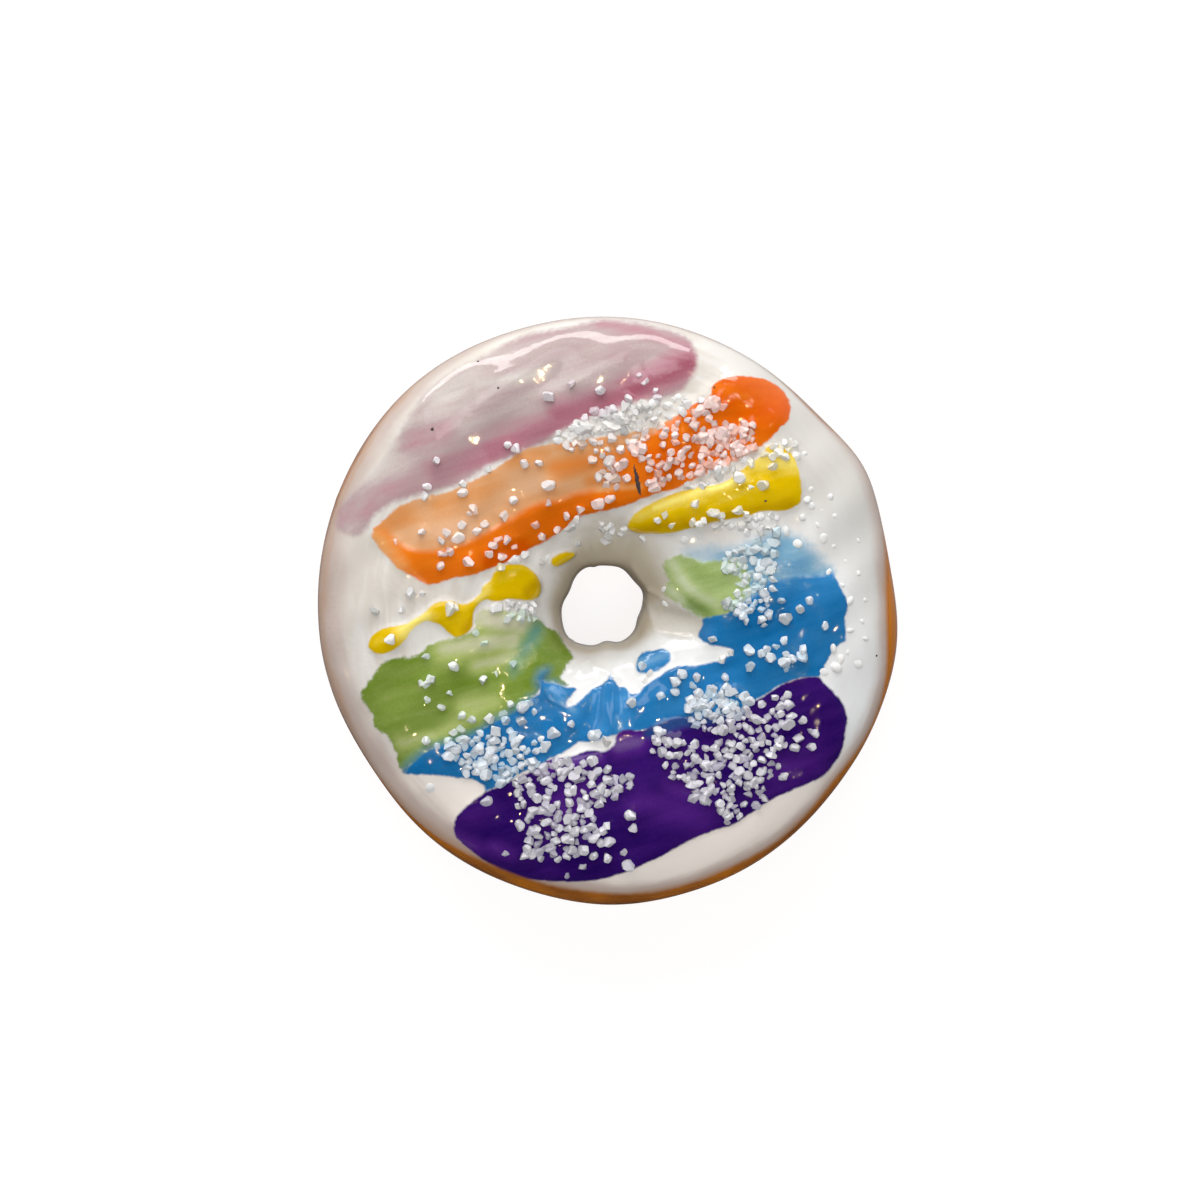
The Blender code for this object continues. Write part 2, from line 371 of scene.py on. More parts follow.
# The icing is a thick white glaze poured over the top and into the hole, and fired on. Brushed
# strokes of coloured glaze lie in it. It thins to a warm grey at the rim and a grey-brown in the
# hole, and both bands are partly painted shade. The strokes' outlines are pixels of the 1200-pixel
# picture that the camera below takes.
COAT_PROUD = 0.0003
LIP_TUCK = 0.00008
COAT_DEPTH = 0.0008
ICING_AROUND = 460
ICING_TOP_ROWS = 180
ICING_UNDER_ROWS = 32
CAMERA_X = -0.00138
CAMERA_Y = 0.00198
CAMERA_HEIGHT = 0.6125
PICTURE_WIDTH = 1200
PICTURE_MIDDLE = PICTURE_WIDTH / 2
PIXEL = 0.0001722
OUTSIDE = -60.0
CURVE_STEPS = 5
LEAST_LENGTH = 1e-9
EDGE_START = 0.3

GREEN_BLUE_BORDER = (
    (539, 692), (528, 701), (512, 713), (493, 722), (474, 734), (455, 742), (436, 747), (424, 753),
    (415, 761),
)
POOL_AND_SHADE = (
    (650, 604), (664, 599), (680, 606), (698, 616), (708, 620), (704, 632), (690, 638), (668, 636),
    (656, 628), (649, 616),
)
LILAC = (
    (336, 521), (339, 530), (354, 537), (366, 530), (371, 519), (383, 508), (400, 500), (423, 493),
    (442, 489), (462, 483), (483, 469), (504, 460), (527, 450), (546, 442), (557, 433), (574, 424),
    (596, 416), (620, 408), (638, 402), (663, 398), (677, 394), (688, 383), (696, 368), (696, 354),
    (690, 341), (677, 333), (648, 325), (619, 321), (600, 320), (569, 327), (530, 334), (508, 343),
    (492, 352), (454, 372), (427, 391), (412, 412), (393, 442), (377, 465), (358, 488), (343, 502),
)
ORANGE_WASH = (
    (373, 530), (378, 546), (392, 560), (412, 572), (430, 570), (470, 560), (520, 540), (560, 520),
    (620, 495), (660, 470), (680, 440), (677, 418), (657, 427), (638, 431), (619, 435), (603, 437),
    (569, 442), (550, 444), (530, 448), (511, 458), (492, 471), (473, 481), (454, 490), (435, 495),
    (412, 501), (397, 508), (383, 521),
)
ORANGE = (
    (372, 531), (375, 542), (387, 555), (396, 567), (412, 576), (427, 584), (442, 582), (458, 577),
    (473, 575), (488, 569), (504, 563), (527, 550), (550, 538), (565, 527), (576, 517), (596, 512),
    (619, 507), (638, 500), (657, 493), (677, 488), (692, 481), (707, 473), (724, 465), (738, 458),
    (753, 450), (766, 442), (778, 430), (788, 420), (790, 406), (784, 393), (768, 381), (749, 377),
    (734, 377), (721, 380), (713, 386), (709, 397), (696, 404), (677, 416), (657, 430), (638, 443),
    (620, 455), (613, 470), (626, 483), (600, 489), (575, 493), (559, 499), (536, 504), (511, 518),
    (483, 534), (454, 547), (420, 551), (399, 543), (386, 531),
)
YELLOW_BAR = (
    (628, 523), (631, 529), (642, 532), (667, 533), (686, 529), (715, 521), (744, 517), (763, 511),
    (782, 511), (797, 505), (801, 496), (800, 477), (795, 462), (789, 452), (778, 446), (766, 447),
    (763, 454), (745, 467), (724, 483), (700, 488), (677, 493), (657, 500), (642, 508), (633, 515),
)
YELLOW_DROP = ((550, 563), (552, 557), (561, 552), (571, 551), (574, 554), (567, 560), (555, 566))
YELLOW_CHAIN = (
    (479, 594), (483, 586), (490, 580), (496, 569), (508, 564), (523, 565), (534, 573), (540, 584),
    (537, 596), (527, 600), (508, 599), (496, 602), (486, 600), (478, 604), (474, 612), (472, 627),
    (466, 634), (457, 638), (449, 633), (440, 625), (426, 621), (413, 629), (405, 640), (394, 650),
    (380, 654), (371, 650), (369, 644), (374, 634), (386, 628), (403, 625), (417, 618), (425, 612),
    (436, 603), (450, 601), (462, 604), (471, 601),
)
GREEN_LEFT = (
    (361, 694), (369, 682), (376, 673), (382, 663), (397, 658), (417, 656), (432, 644), (455, 638),
    (474, 631), (478, 612), (505, 610), (535, 619), (547, 627), (558, 633), (564, 644), (573, 657),
    (568, 665), (562, 673), (560, 678), (568, 686), (550, 684), (541, 680), *GREEN_BLUE_BORDER,
    (405, 771), (399, 765), (396, 751), (388, 736), (378, 730), (373, 722), (374, 715), (368, 707),
    (363, 700),
)
GREEN_RIGHT = (
    (664, 562), (672, 558), (682, 555), (694, 558), (704, 562), (722, 560), (742, 562), (750, 580),
    (744, 600), (732, 612), (716, 620), (704, 618), (690, 611), (680, 604), (670, 599), (664, 590),
    (668, 582), (666, 573),
)
BLUE = (
    (766, 588), (782, 580), (799, 577), (822, 576), (833, 573), (840, 588), (846, 599), (847, 611),
    (844, 619), (846, 638), (837, 646), (832, 652), (826, 663), (818, 677), (801, 678), (782, 684),
    (763, 696), (749, 703), (734, 713), (700, 719), (677, 722), (657, 726), (644, 730), (629, 732),
    (617, 734), (593, 742), (579, 742), (566, 751), (549, 759), (541, 765), (522, 772), (508, 782),
    (493, 788), (486, 791), (484, 786), (474, 780), (455, 777), (432, 775), (411, 774), (403, 771),
    *GREEN_BLUE_BORDER[::-1], (536, 681), (540, 672), (548, 670), (544, 681), (554, 683), (562, 687),
    (576, 689), (572, 695), (566, 703), (568, 707), (578, 703), (584, 697), (592, 689), (600, 686),
    (607, 681), (610, 676), (613, 679), (618, 687), (626, 688), (628, 692), (632, 695), (640, 692),
    (648, 686), (658, 678), (674, 668), (691, 666), (705, 664), (721, 660), (733, 652), (729, 648),
    (712, 645), (702, 641), (699, 635), (703, 625), (705, 618), (726, 614), (740, 605), (755, 595),
)
TEAL_BORDER = (
    (404, 766), (414, 752), (430, 744), (455, 736), (480, 728), (510, 708), (530, 694), (536, 704),
    (520, 718), (495, 732), (470, 744), (440, 756), (418, 768),
)
TEAL_SMEAR = (
    (508, 668), (516, 650), (524, 636), (532, 621), (540, 623), (543, 634), (534, 650), (522, 668),
    (512, 678),
)
INK_BORDER = (
    (646, 730), (675, 718), (705, 716), (738, 708), (742, 714), (712, 724), (680, 728), (650, 738),
)
BLUE_DROP = (
    (637, 667), (638, 659), (645, 652), (653, 651), (661, 649), (669, 652), (671, 659), (666, 665),
    (656, 672), (645, 674), (638, 672),
)
BLUE_WASH = (
    (682, 555), (707, 546), (734, 546), (759, 538), (772, 530), (791, 532), (810, 544), (824, 559),
    (833, 573), (800, 584), (766, 596), (737, 606), (722, 585),
)
PURPLE = (
    (454, 828), (457, 816), (468, 805), (484, 793), (503, 784), (522, 776), (541, 765), (550, 759),
    (570, 757), (587, 751), (604, 751), (614, 744), (617, 734), (627, 730), (644, 730), (673, 719),
    (700, 719), (734, 715), (749, 704), (763, 696), (782, 684), (801, 678), (818, 677), (824, 684),
    (835, 694), (843, 705), (847, 719), (844, 734), (843, 745), (835, 761), (822, 776), (801, 786),
    (772, 799), (749, 814), (734, 824), (715, 830), (696, 837), (677, 847), (657, 858), (629, 870),
    (600, 879), (570, 881), (531, 879), (506, 872), (485, 860), (470, 849), (457, 837),
)

# Each stroke, in the order of painting: its outlines, how far its glaze stands up and over how many
# pixels it rounds off, how soft and how ragged its edge is in pixels, its colours from a pale wash
# to the full glaze, how much glaze it has all over, from 0 to 1, and where the brush left more or
# less, or where a mark paints highlight or shade: from x, y to x, y, half width and change. Where a
# stroke melts into another, its edge is softer by so many more pixels.
STROKES = {
    # a grey pool in the pocket beside the hole, partly clear glaze, partly painted shade
    "clear_pool": {
        "outlines": (POOL_AND_SHADE,),
        "stands": 0.0,
        "rounded": 6,
        "soft": 4,
        "ragged": 3,
        "colours": (shade(218, 215, 208), shade(203, 197, 187), shade(180, 172, 157)),
        "strength": 0.5,
        "brushed_and_painted_light": ((658, 606, 700, 614, 8, 0.35), (664, 630, 696, 632, 8, -0.3)),
    },
    "lilac": {
        "outlines": (LILAC,),
        "stands": 0.00010,
        "rounded": 8,
        "soft": 4.0,
        "ragged": 3,
        "colours": (shade(200, 193, 187), shade(177, 156, 156), shade(173, 122, 134), shade(153, 81, 99)),
        "strength": 0.24,
        "brushed_and_painted_light": (
            (340, 520, 400, 496, 17, 0.20),
            (392, 496, 445, 472, 18, 0.26),
            (435, 474, 510, 446, 17, 0.42),
            (490, 452, 580, 414, 15, 0.54),
            (560, 416, 640, 392, 16, 0.62),
            (630, 392, 690, 364, 18, 0.70),
            (410, 444, 446, 432, 11, 0.30),
            (400, 400, 368, 466, 15, -0.30),
            (440, 392, 470, 376, 12, -0.16),
            (478, 384, 545, 372, 5, -0.20),
            (400, 396, 480, 362, 5, 0.14),
            (500, 344, 600, 322, 5, 0.14),
            (600, 322, 690, 345, 8, 0.30),
            (620, 356, 690, 352, 14, 0.14),
        ),
    },
    "orange_wash": {
        "outlines": (ORANGE_WASH,),
        "stands": 0.00008,
        "rounded": 6,
        "soft": 1.6,
        "ragged": 2.5,
        "colours": (shade(224, 184, 150), shade(217, 153, 98), shade(217, 118, 30)),
        "strength": 0.34,
        "brushed_and_painted_light": (
            (380, 528, 402, 516, 14, 0.34),
            (556, 470, 624, 455, 11, 0.50),
            (590, 480, 630, 474, 7, 0.45),
            (440, 505, 500, 485, 8, 0.20),
            (510, 462, 545, 455, 7, 0.22),
            (560, 447, 610, 442, 5, 0.22),
            (400, 534, 470, 528, 8, -0.16),
            (500, 490, 550, 478, 8, -0.16),
        ),
    },
    "orange": {
        "outlines": (ORANGE,),
        "stands": 0.00034,
        "rounded": 8,
        "soft": 1.4,
        "ragged": 2.0,
        "melts_into": (("orange_wash", 3.5),),
        "colours": (shade(231, 164, 100), shade(228, 118, 18), shade(210, 86, 0)),
        "strength": 0.66,
        "brushed_and_painted_light": (
            (366, 530, 396, 564, 17, -0.58),
            (404, 556, 440, 560, 10, -0.18),
            (600, 489, 640, 486, 4, -0.62),
            (490, 560, 520, 548, 10, 0.45),
            (620, 455, 640, 470, 12, -0.25),
            (720, 395, 775, 410, 30, 0.28),
            (640, 470, 720, 450, 14, 0.26),
            # paler along the lobe's upper edge: painted highlight
            (712, 386, 745, 398, 5, -0.22),
        ),
    },
    "yellow": {
        "outlines": (YELLOW_BAR, YELLOW_DROP, YELLOW_CHAIN),
        "stands": 0.00070,
        "rounded": 9,
        "soft": 1.2,
        "ragged": 1.2,
        "colours": (shade(248, 232, 128), shade(219, 182, 0), shade(182, 140, 0)),
        "strength": 0.52,
        "brushed_and_painted_light": (
            # the next three marks, paler along the bar's upper ridge and right end, are painted highlight
            (640, 516, 700, 496, 7, -0.22),
            (655, 508, 745, 480, 4, -0.42),
            (762, 462, 795, 466, 9, -0.26),
            # deeper along the bar's lower edge: partly painted shade
            (640, 529, 790, 503, 7, 0.36),
            (405, 632, 425, 616, 8, -0.45),
            (478, 600, 486, 588, 6, -0.30),
            (526, 592, 538, 580, 6, 0.36),
            (466, 630, 474, 618, 6, 0.30),
        ),
    },
    "blue_wash": {
        "outlines": (BLUE_WASH,),
        "stands": 0.00005,
        "rounded": 6,
        "soft": 8,
        "ragged": 6,
        "colours": (shade(208, 216, 219), shade(122, 168, 196), shade(56, 130, 184)),
        "strength": 0.22,
        "brushed_and_painted_light": (
            (756, 562, 800, 568, 18, 0.40),
            (768, 546, 796, 546, 9, 0.24),
            (752, 588, 830, 576, 8, 0.50),
            (720, 556, 745, 560, 10, 0.18),
        ),
    },
    "green_right": {
        "outlines": (GREEN_RIGHT,),
        "stands": 0.00016,
        "rounded": 6,
        "soft": 2.4,
        "ragged": 4.5,
        "colours": (shade(212, 219, 192), shade(172, 190, 128), shade(114, 142, 62)),
        "strength": 0.64,
        "brushed_and_painted_light": (
            (672, 562, 682, 578, 7, -0.36),
            (682, 578, 694, 594, 7, -0.44),
            (694, 594, 716, 608, 7, -0.40),
            (700, 572, 726, 584, 9, 0.14),
            (692, 600, 714, 614, 7, 0.42),
            (664, 586, 684, 600, 6, -0.34),
        ),
    },
    "green": {
        "outlines": (GREEN_LEFT,),
        "stands": 0.00022,
        "rounded": 7,
        "soft": 2.0,
        "ragged": 3.6,
        "colours": (shade(206, 203, 178), shade(160, 174, 102), shade(108, 134, 44)),
        "strength": 0.92,
        "brushed_and_painted_light": (
            (478, 616, 522, 624, 16, -0.84),
            (444, 648, 512, 640, 15, -0.70),
            (476, 664, 516, 656, 10, -0.56),
            (483, 707, 432, 738, 9, -0.42),
            (432, 736, 402, 742, 8, -0.50),
            (464, 706, 492, 702, 11, -0.44),
        ),
    },
    "teal": {
        "outlines": (TEAL_BORDER, TEAL_SMEAR),
        "stands": 0.0,
        "rounded": 6,
        "soft": 7,
        "ragged": 3,
        "colours": (shade(150, 180, 140), shade(116, 150, 108), shade(66, 130, 126)),
        "strength": 0.5,
        "brushed_and_painted_light": ((430, 762, 540, 705, 6, 0.35), (526, 646, 538, 626, 7, 0.26)),
    },
    "blue": {
        "outlines": (BLUE, BLUE_DROP),
        "stands": 0.00030,
        "rounded": 8,
        "soft": 1.5,
        "ragged": 2.0,
        "melts_into": (("blue_wash", 2.0), ("green", 8.0)),
        "colours": (shade(140, 184, 214), shade(50, 128, 186), shade(6, 99, 158)),
        "strength": 0.78,
        "brushed_and_painted_light": (
            # the next four marks, paler on the folds, the curl and the drop, are painted highlight
            (625, 690, 622, 735, 9, -0.26),
            (596, 692, 600, 730, 10, -0.22),
            (552, 690, 574, 712, 8, -0.46),
            (642, 664, 668, 656, 9, -0.44),
            (660, 700, 690, 690, 8, -0.16),
            (420, 768, 470, 764, 9, 0.10),
            (770, 612, 740, 640, 24, 0.14),
            (700, 640, 760, 620, 16, 0.10),
            (756, 592, 836, 578, 7, -0.30),
            (660, 708, 720, 700, 9, -0.24),
            (800, 665, 812, 672, 10, 0.16),
        ),
    },
    "purple": {
        "outlines": (PURPLE,),
        "stands": 0.00036,
        "rounded": 9,
        "soft": 1.6,
        "ragged": 1.6,
        "colours": (shade(118, 92, 148), shade(76, 30, 124), shade(28, 4, 85)),
        "strength": 0.87,
        "brushed_and_painted_light": (
            (618, 745, 636, 742, 12, -0.66),
            (670, 786, 694, 796, 12, -0.40),
            (454, 836, 476, 846, 9, -0.34),
            (494, 846, 510, 852, 8, -0.42),
            (600, 758, 550, 766, 7, -0.50),
            (560, 812, 590, 790, 16, -0.34),
            (780, 770, 810, 760, 18, -0.26),
            (640, 800, 700, 818, 18, -0.34),
            (470, 812, 490, 808, 10, -0.16),
        ),
    },
    "ink": {
        "outlines": (INK_BORDER,),
        "stands": 0.0,
        "rounded": 6,
        "soft": 5,
        "ragged": 3,
        "colours": (shade(60, 96, 150), shade(34, 62, 120), shade(26, 36, 104)),
        "strength": 0.5,
        "brushed_and_painted_light": ((650, 724, 740, 706, 6, -0.2),),
    },
}


def in_picture(points):
    """Where points show in the picture, in pixels to the right and down."""
    nearer = (CAMERA_HEIGHT - WAIST_HEIGHT) / (CAMERA_HEIGHT - points[..., 2])
    right = PICTURE_MIDDLE + (points[..., 0] - CAMERA_X) / PIXEL * nearer
    down = PICTURE_MIDDLE - (points[..., 1] - CAMERA_Y) / PIXEL * nearer
    return right, down


def smooth_outline(corners):
    """A closed curve through the corners."""
    here = np.array(corners, float)
    before, after, beyond = np.roll(here, 1, 0), np.roll(here, -1, 0), np.roll(here, -2, 0)
    parts = []
    for t in np.arange(CURVE_STEPS) / CURVE_STEPS:
        bend = (2 * before - 5 * here + 4 * after - beyond) * t**2
        twist = (3 * here - before - 3 * after + beyond) * t**3
        parts.append((2 * here + (after - before) * t + bend + twist) / 2)
    return np.stack(parts, axis=1).reshape(-1, 2)


def from_line(right, down, start, end):
    """Distance of points from a straight line between two places."""
    step = np.subtract(end, start)
    along = (right - start[0]) * step[0] + (down - start[1]) * step[1]
    along = np.clip(along / max(step @ step, LEAST_LENGTH), 0, 1)
    return np.hypot(right - start[0] - along * step[0], down - start[1] - along * step[1])


def depth_inside(right, down, corners):
    """How far inside an outline points lie, in pixels, and below 0 outside it."""
    outline = smooth_outline(corners)
    nearest = np.full(right.shape, -OUTSIDE)
    inside = np.zeros(right.shape, bool)
    for start, end in zip(outline, np.roll(outline, -1, axis=0)):
        nearest = np.minimum(nearest, from_line(right, down, start, end))
        rising = end[1] - start[1]
        if rising:
            crossing = start[0] + (end[0] - start[0]) * (down - start[1]) / rising
            inside ^= ((start[1] > down) != (end[1] > down)) & (right < crossing)
    return np.where(inside, nearest, -nearest)


def stroke_depth(right, down, stroke):
    """Depth inside the nearest of a stroke's outlines."""
    return np.max([depth_inside(right, down, outline) for outline in stroke["outlines"]], axis=0)


def stroke_strength(right, down, stroke):
    """How much glaze the brush left, from 0 to 1, with painted highlight and shade in some marks.
    Marks of one kind that meet don't add up.
    """
    more, less = np.zeros(right.shape), np.zeros(right.shape)
    for x0, y0, x1, y1, width, change in stroke["brushed_and_painted_light"]:
        off = from_line(right, down, (x0, y0), (x1, y1)) / width
        more = np.maximum(more, change * np.exp(-(off**2)))
        less = np.minimum(less, change * np.exp(-(off**2)))
    return np.clip(stroke["strength"] + more + less, 0, 1)


icing_directions = np.arange(ICING_AROUND) * 360 / ICING_AROUND
side_lip, hole_lip = lips(icing_directions)
top_turns = even_turns(side_lip, hole_lip, ICING_TOP_ROWS)
top_rows = []
for turn in top_turns:
    lift = -LIP_TUCK + (COAT_PROUD + LIP_TUCK) * coat_share(icing_directions, turn)
    top_rows.append(skin(icing_directions, turn) + outward(icing_directions, turn) * lift[:, None])
top_points = np.array(top_rows)
top_normals = np.array([outward(icing_directions, turn) for turn in top_turns])
picture_right, picture_down = in_picture(top_points)
depths = {name: stroke_depth(picture_right, picture_down, stroke) for name, stroke in STROKES.items()}
strengths = {
    name: stroke_strength(picture_right, picture_down, stroke) for name, stroke in STROKES.items()
}
for name, stroke in STROKES.items():
    edge = np.clip(depths[name] / stroke["rounded"] + EDGE_START, 0, 1)
    top_points = top_points + top_normals * (stroke["stands"] * edge * (2 - edge))[..., None]

# Where the glaze ran towards the hole and over a fold it froze in creases: from x, y to x, y in
# the picture, half width in pixels and height.
CREASES = (
    (606, 683, 603, 738, 1.8, 0.00028),
    (613, 684, 612, 736, 1.6, 0.00024),
    (621, 690, 623, 730, 2.2, 0.00020),
    (598, 690, 590, 726, 2.4, 0.00018),
    (632, 566, 650, 590, 3.0, 0.00022),
    (650, 590, 668, 601, 3.0, 0.00020),
    (647, 602, 655, 630, 2.6, 0.00014),
    (656, 633, 690, 637, 2.6, 0.00014),
    (588, 545, 594, 566, 3.0, 0.00018),
    (566, 676, 588, 660, 2.2, 0.00012),
    (592, 664, 636, 688, 2.2, 0.00012),
    (672, 652, 726, 642, 2.0, 0.00014),
    (642, 688, 690, 664, 2.2, 0.00012),
    (590, 652, 630, 650, 2.0, 0.00010),
    (556, 656, 572, 640, 2.0, 0.00010),
    (752, 594, 790, 586, 1.8, 0.00010),
    (790, 586, 812, 594, 1.8, 0.00010),
    (806, 584, 834, 580, 1.8, 0.00008),
    (539, 684, 550, 700, 2.0, 0.00018),
    (550, 700, 566, 708, 2.0, 0.00018),
    (556, 686, 576, 704, 2.2, 0.00020),
    (566, 706, 580, 716, 2.0, 0.00010),
    (655, 508, 700, 492, 2.6, 0.00010),
    (700, 492, 748, 476, 2.2, 0.00012),
    (405, 395, 470, 362, 2.2, 0.00010),
    (425, 402, 520, 366, 3.0, 0.00008),
    (340, 500, 372, 452, 4.0, 0.00016),
    (632, 470, 606, 487, 4.0, 0.00012),
    (480, 536, 560, 503, 4.0, 0.00010),
)
for x0, y0, x1, y1, width, height in CREASES:
    off = from_line(picture_right, picture_down, (x0, y0), (x1, y1)) / width
    top_points = top_points + top_normals * (height * np.exp(-(off**2)))[..., None]

under_rows = []
for turn in even_turns(side_lip, hole_lip, ICING_UNDER_ROWS + 1)[:0:-1]:
    sunk = LIP_TUCK + (COAT_DEPTH - LIP_TUCK) * coat_share(icing_directions, turn)
    under_rows.append(skin(icing_directions, turn) - outward(icing_directions, turn) * sunk[:, None])
icing_coat, row, column = pressed_torus("icing_coat", [*top_points, *under_rows])


def keep_on_icing(name, top_values, below):
    """Stores a number for each point of the icing, for its material to read."""
    padded = np.full((ICING_TOP_ROWS + len(under_rows), ICING_AROUND), float(below))
    padded[:ICING_TOP_ROWS] = top_values
    kept = icing_coat.data.attributes.new(name, "FLOAT", "POINT")
    kept.data.foreach_set("value", padded[row, column])


for name in STROKES:
    keep_on_icing(name + "_depth", depths[name], OUTSIDE)
    keep_on_icing(name + "_strength", strengths[name], 0)

# At the rim the white thins until the brown clay shows, and it thins again in the hole; the warm
# grey band inside the rim and the grey and brown round and in the hole are partly painted shade.
# Widths are pixels in from the edge that the camera sees: direction and width in degrees, and
# pixels.
BROWN_BAND = -3.5
BROWN_PLACES = (
    (358, 15, 14.0),
    (322, 15, 9.0),
    (296, 15, 9.5),
    (268, 19, 14.0),
    (241, 17, 11.0),
    (44, 14, 5.0),
    (148, 22, 5.8),
    (190, 24, 3.0),
)
THIN_AND_SHADE_BAND = 5.0
THIN_AND_SHADE_PLACES = (
    (183, 40, 22.0),
    (226, 26, 12.0),
    (300, 34, 4.0),
    (20, 18, 6.0),
    (48, 16, -3.5),
    (268, 22, 3.0),
    (345, 20, 4.0),
    (135, 14, 5.0),
)
HOLE_SHADE_BAND = 8.0
HOLE_SHADE_PLACES = (
    (92, 32, 30.0),
    (52, 26, 24.0),
    (160, 30, 5.0),
    (10, 30, 16.0),
    (345, 24, 10.0),
)
BAND_FADE = 1.4
HOLE_WALL_TURN = 178
RING_MIDDLE = (PICTURE_MIDDLE - CAMERA_X / PIXEL, PICTURE_MIDDLE + CAMERA_Y / PIXEL)
HOLE_MIDDLE = (RING_MIDDLE[0] + HOLE_CENTRE[0] / PIXEL, RING_MIDDLE[1] - HOLE_CENTRE[1] / PIXEL)


def picture_radius(points, middle):
    """How far from a middle points show in the picture, in pixels."""
    right, down = in_picture(points)
    return np.hypot(right - middle[0], down - middle[1])


rim_turns = np.linspace(-12, 60, 37)
rim = [picture_radius(skin(icing_directions, turn), RING_MIDDLE) for turn in rim_turns]
from_rim = np.max(rim, axis=0) - picture_radius(top_points, RING_MIDDLE)
hole_turns = np.linspace(140, 215, 38)
hole = [picture_radius(skin(icing_directions, turn), HOLE_MIDDLE) for turn in hole_turns]
from_hole = picture_radius(top_points, HOLE_MIDDLE) - np.min(hole, axis=0)
from_hole = np.where(np.array(top_turns) > HOLE_WALL_TURN, 0, np.maximum(from_hole, 0))
past_brown = from_rim - BROWN_BAND - presses(icing_directions, BROWN_PLACES)
thin_and_shade_width = THIN_AND_SHADE_BAND + presses(icing_directions, THIN_AND_SHADE_PLACES)
hole_shade_width = HOLE_SHADE_BAND + presses(icing_directions, HOLE_SHADE_PLACES)
keep_on_icing("past_brown", past_brown, OUTSIDE)
# The rim band and the hole band, both partly painted shade.
keep_on_icing("thin", np.exp(-((np.maximum(past_brown, 0) / thin_and_shade_width) ** BAND_FADE)), 1)
keep_on_icing("in_hole", np.exp(-((from_hole / hole_shade_width) ** BAND_FADE)), 1)

WHITE = shade(224, 221, 216)
CLEAN_WHITE = shade(236, 239, 241)
CREAM = shade(211, 204, 195)
RIM_GREY_AND_SHADE = shade(190, 172, 163)
THIN_BROWN = shade(184, 148, 122)
HOLE_GREY_AND_SHADE = shade(192, 181, 161)
HOLE_BROWN_AND_SHADE = shade(138, 120, 94)
SHADED_WHITE = shade(202, 199, 193)
WARM_WHITE = shade(245, 235, 226)
BRUSH_TILT = math.radians(17)
BRUSH_STRETCH = 7
SWEEP_RADIUS = 0.04
SWEEP_STRETCH = 6
STROKE_RELIEF = 200
NOISE_MIDDLE = 0.5

# Marks of turning follow coordinates that run round the ring and, stretched, across it.
sweep = np.zeros((ICING_TOP_ROWS + len(under_rows), ICING_AROUND, 3))
sweep[..., 0] = SWEEP_RADIUS * np.cos(np.radians(icing_directions))
sweep[..., 1] = SWEEP_RADIUS * np.sin(np.radians(icing_directions))
sweep[:ICING_TOP_ROWS, :, 2] = from_rim * PIXEL * SWEEP_STRETCH
kept_sweep = icing_coat.data.attributes.new("sweep", "FLOAT_VECTOR", "POINT")
kept_sweep.data.foreach_set("vector", sweep[row, column].ravel())


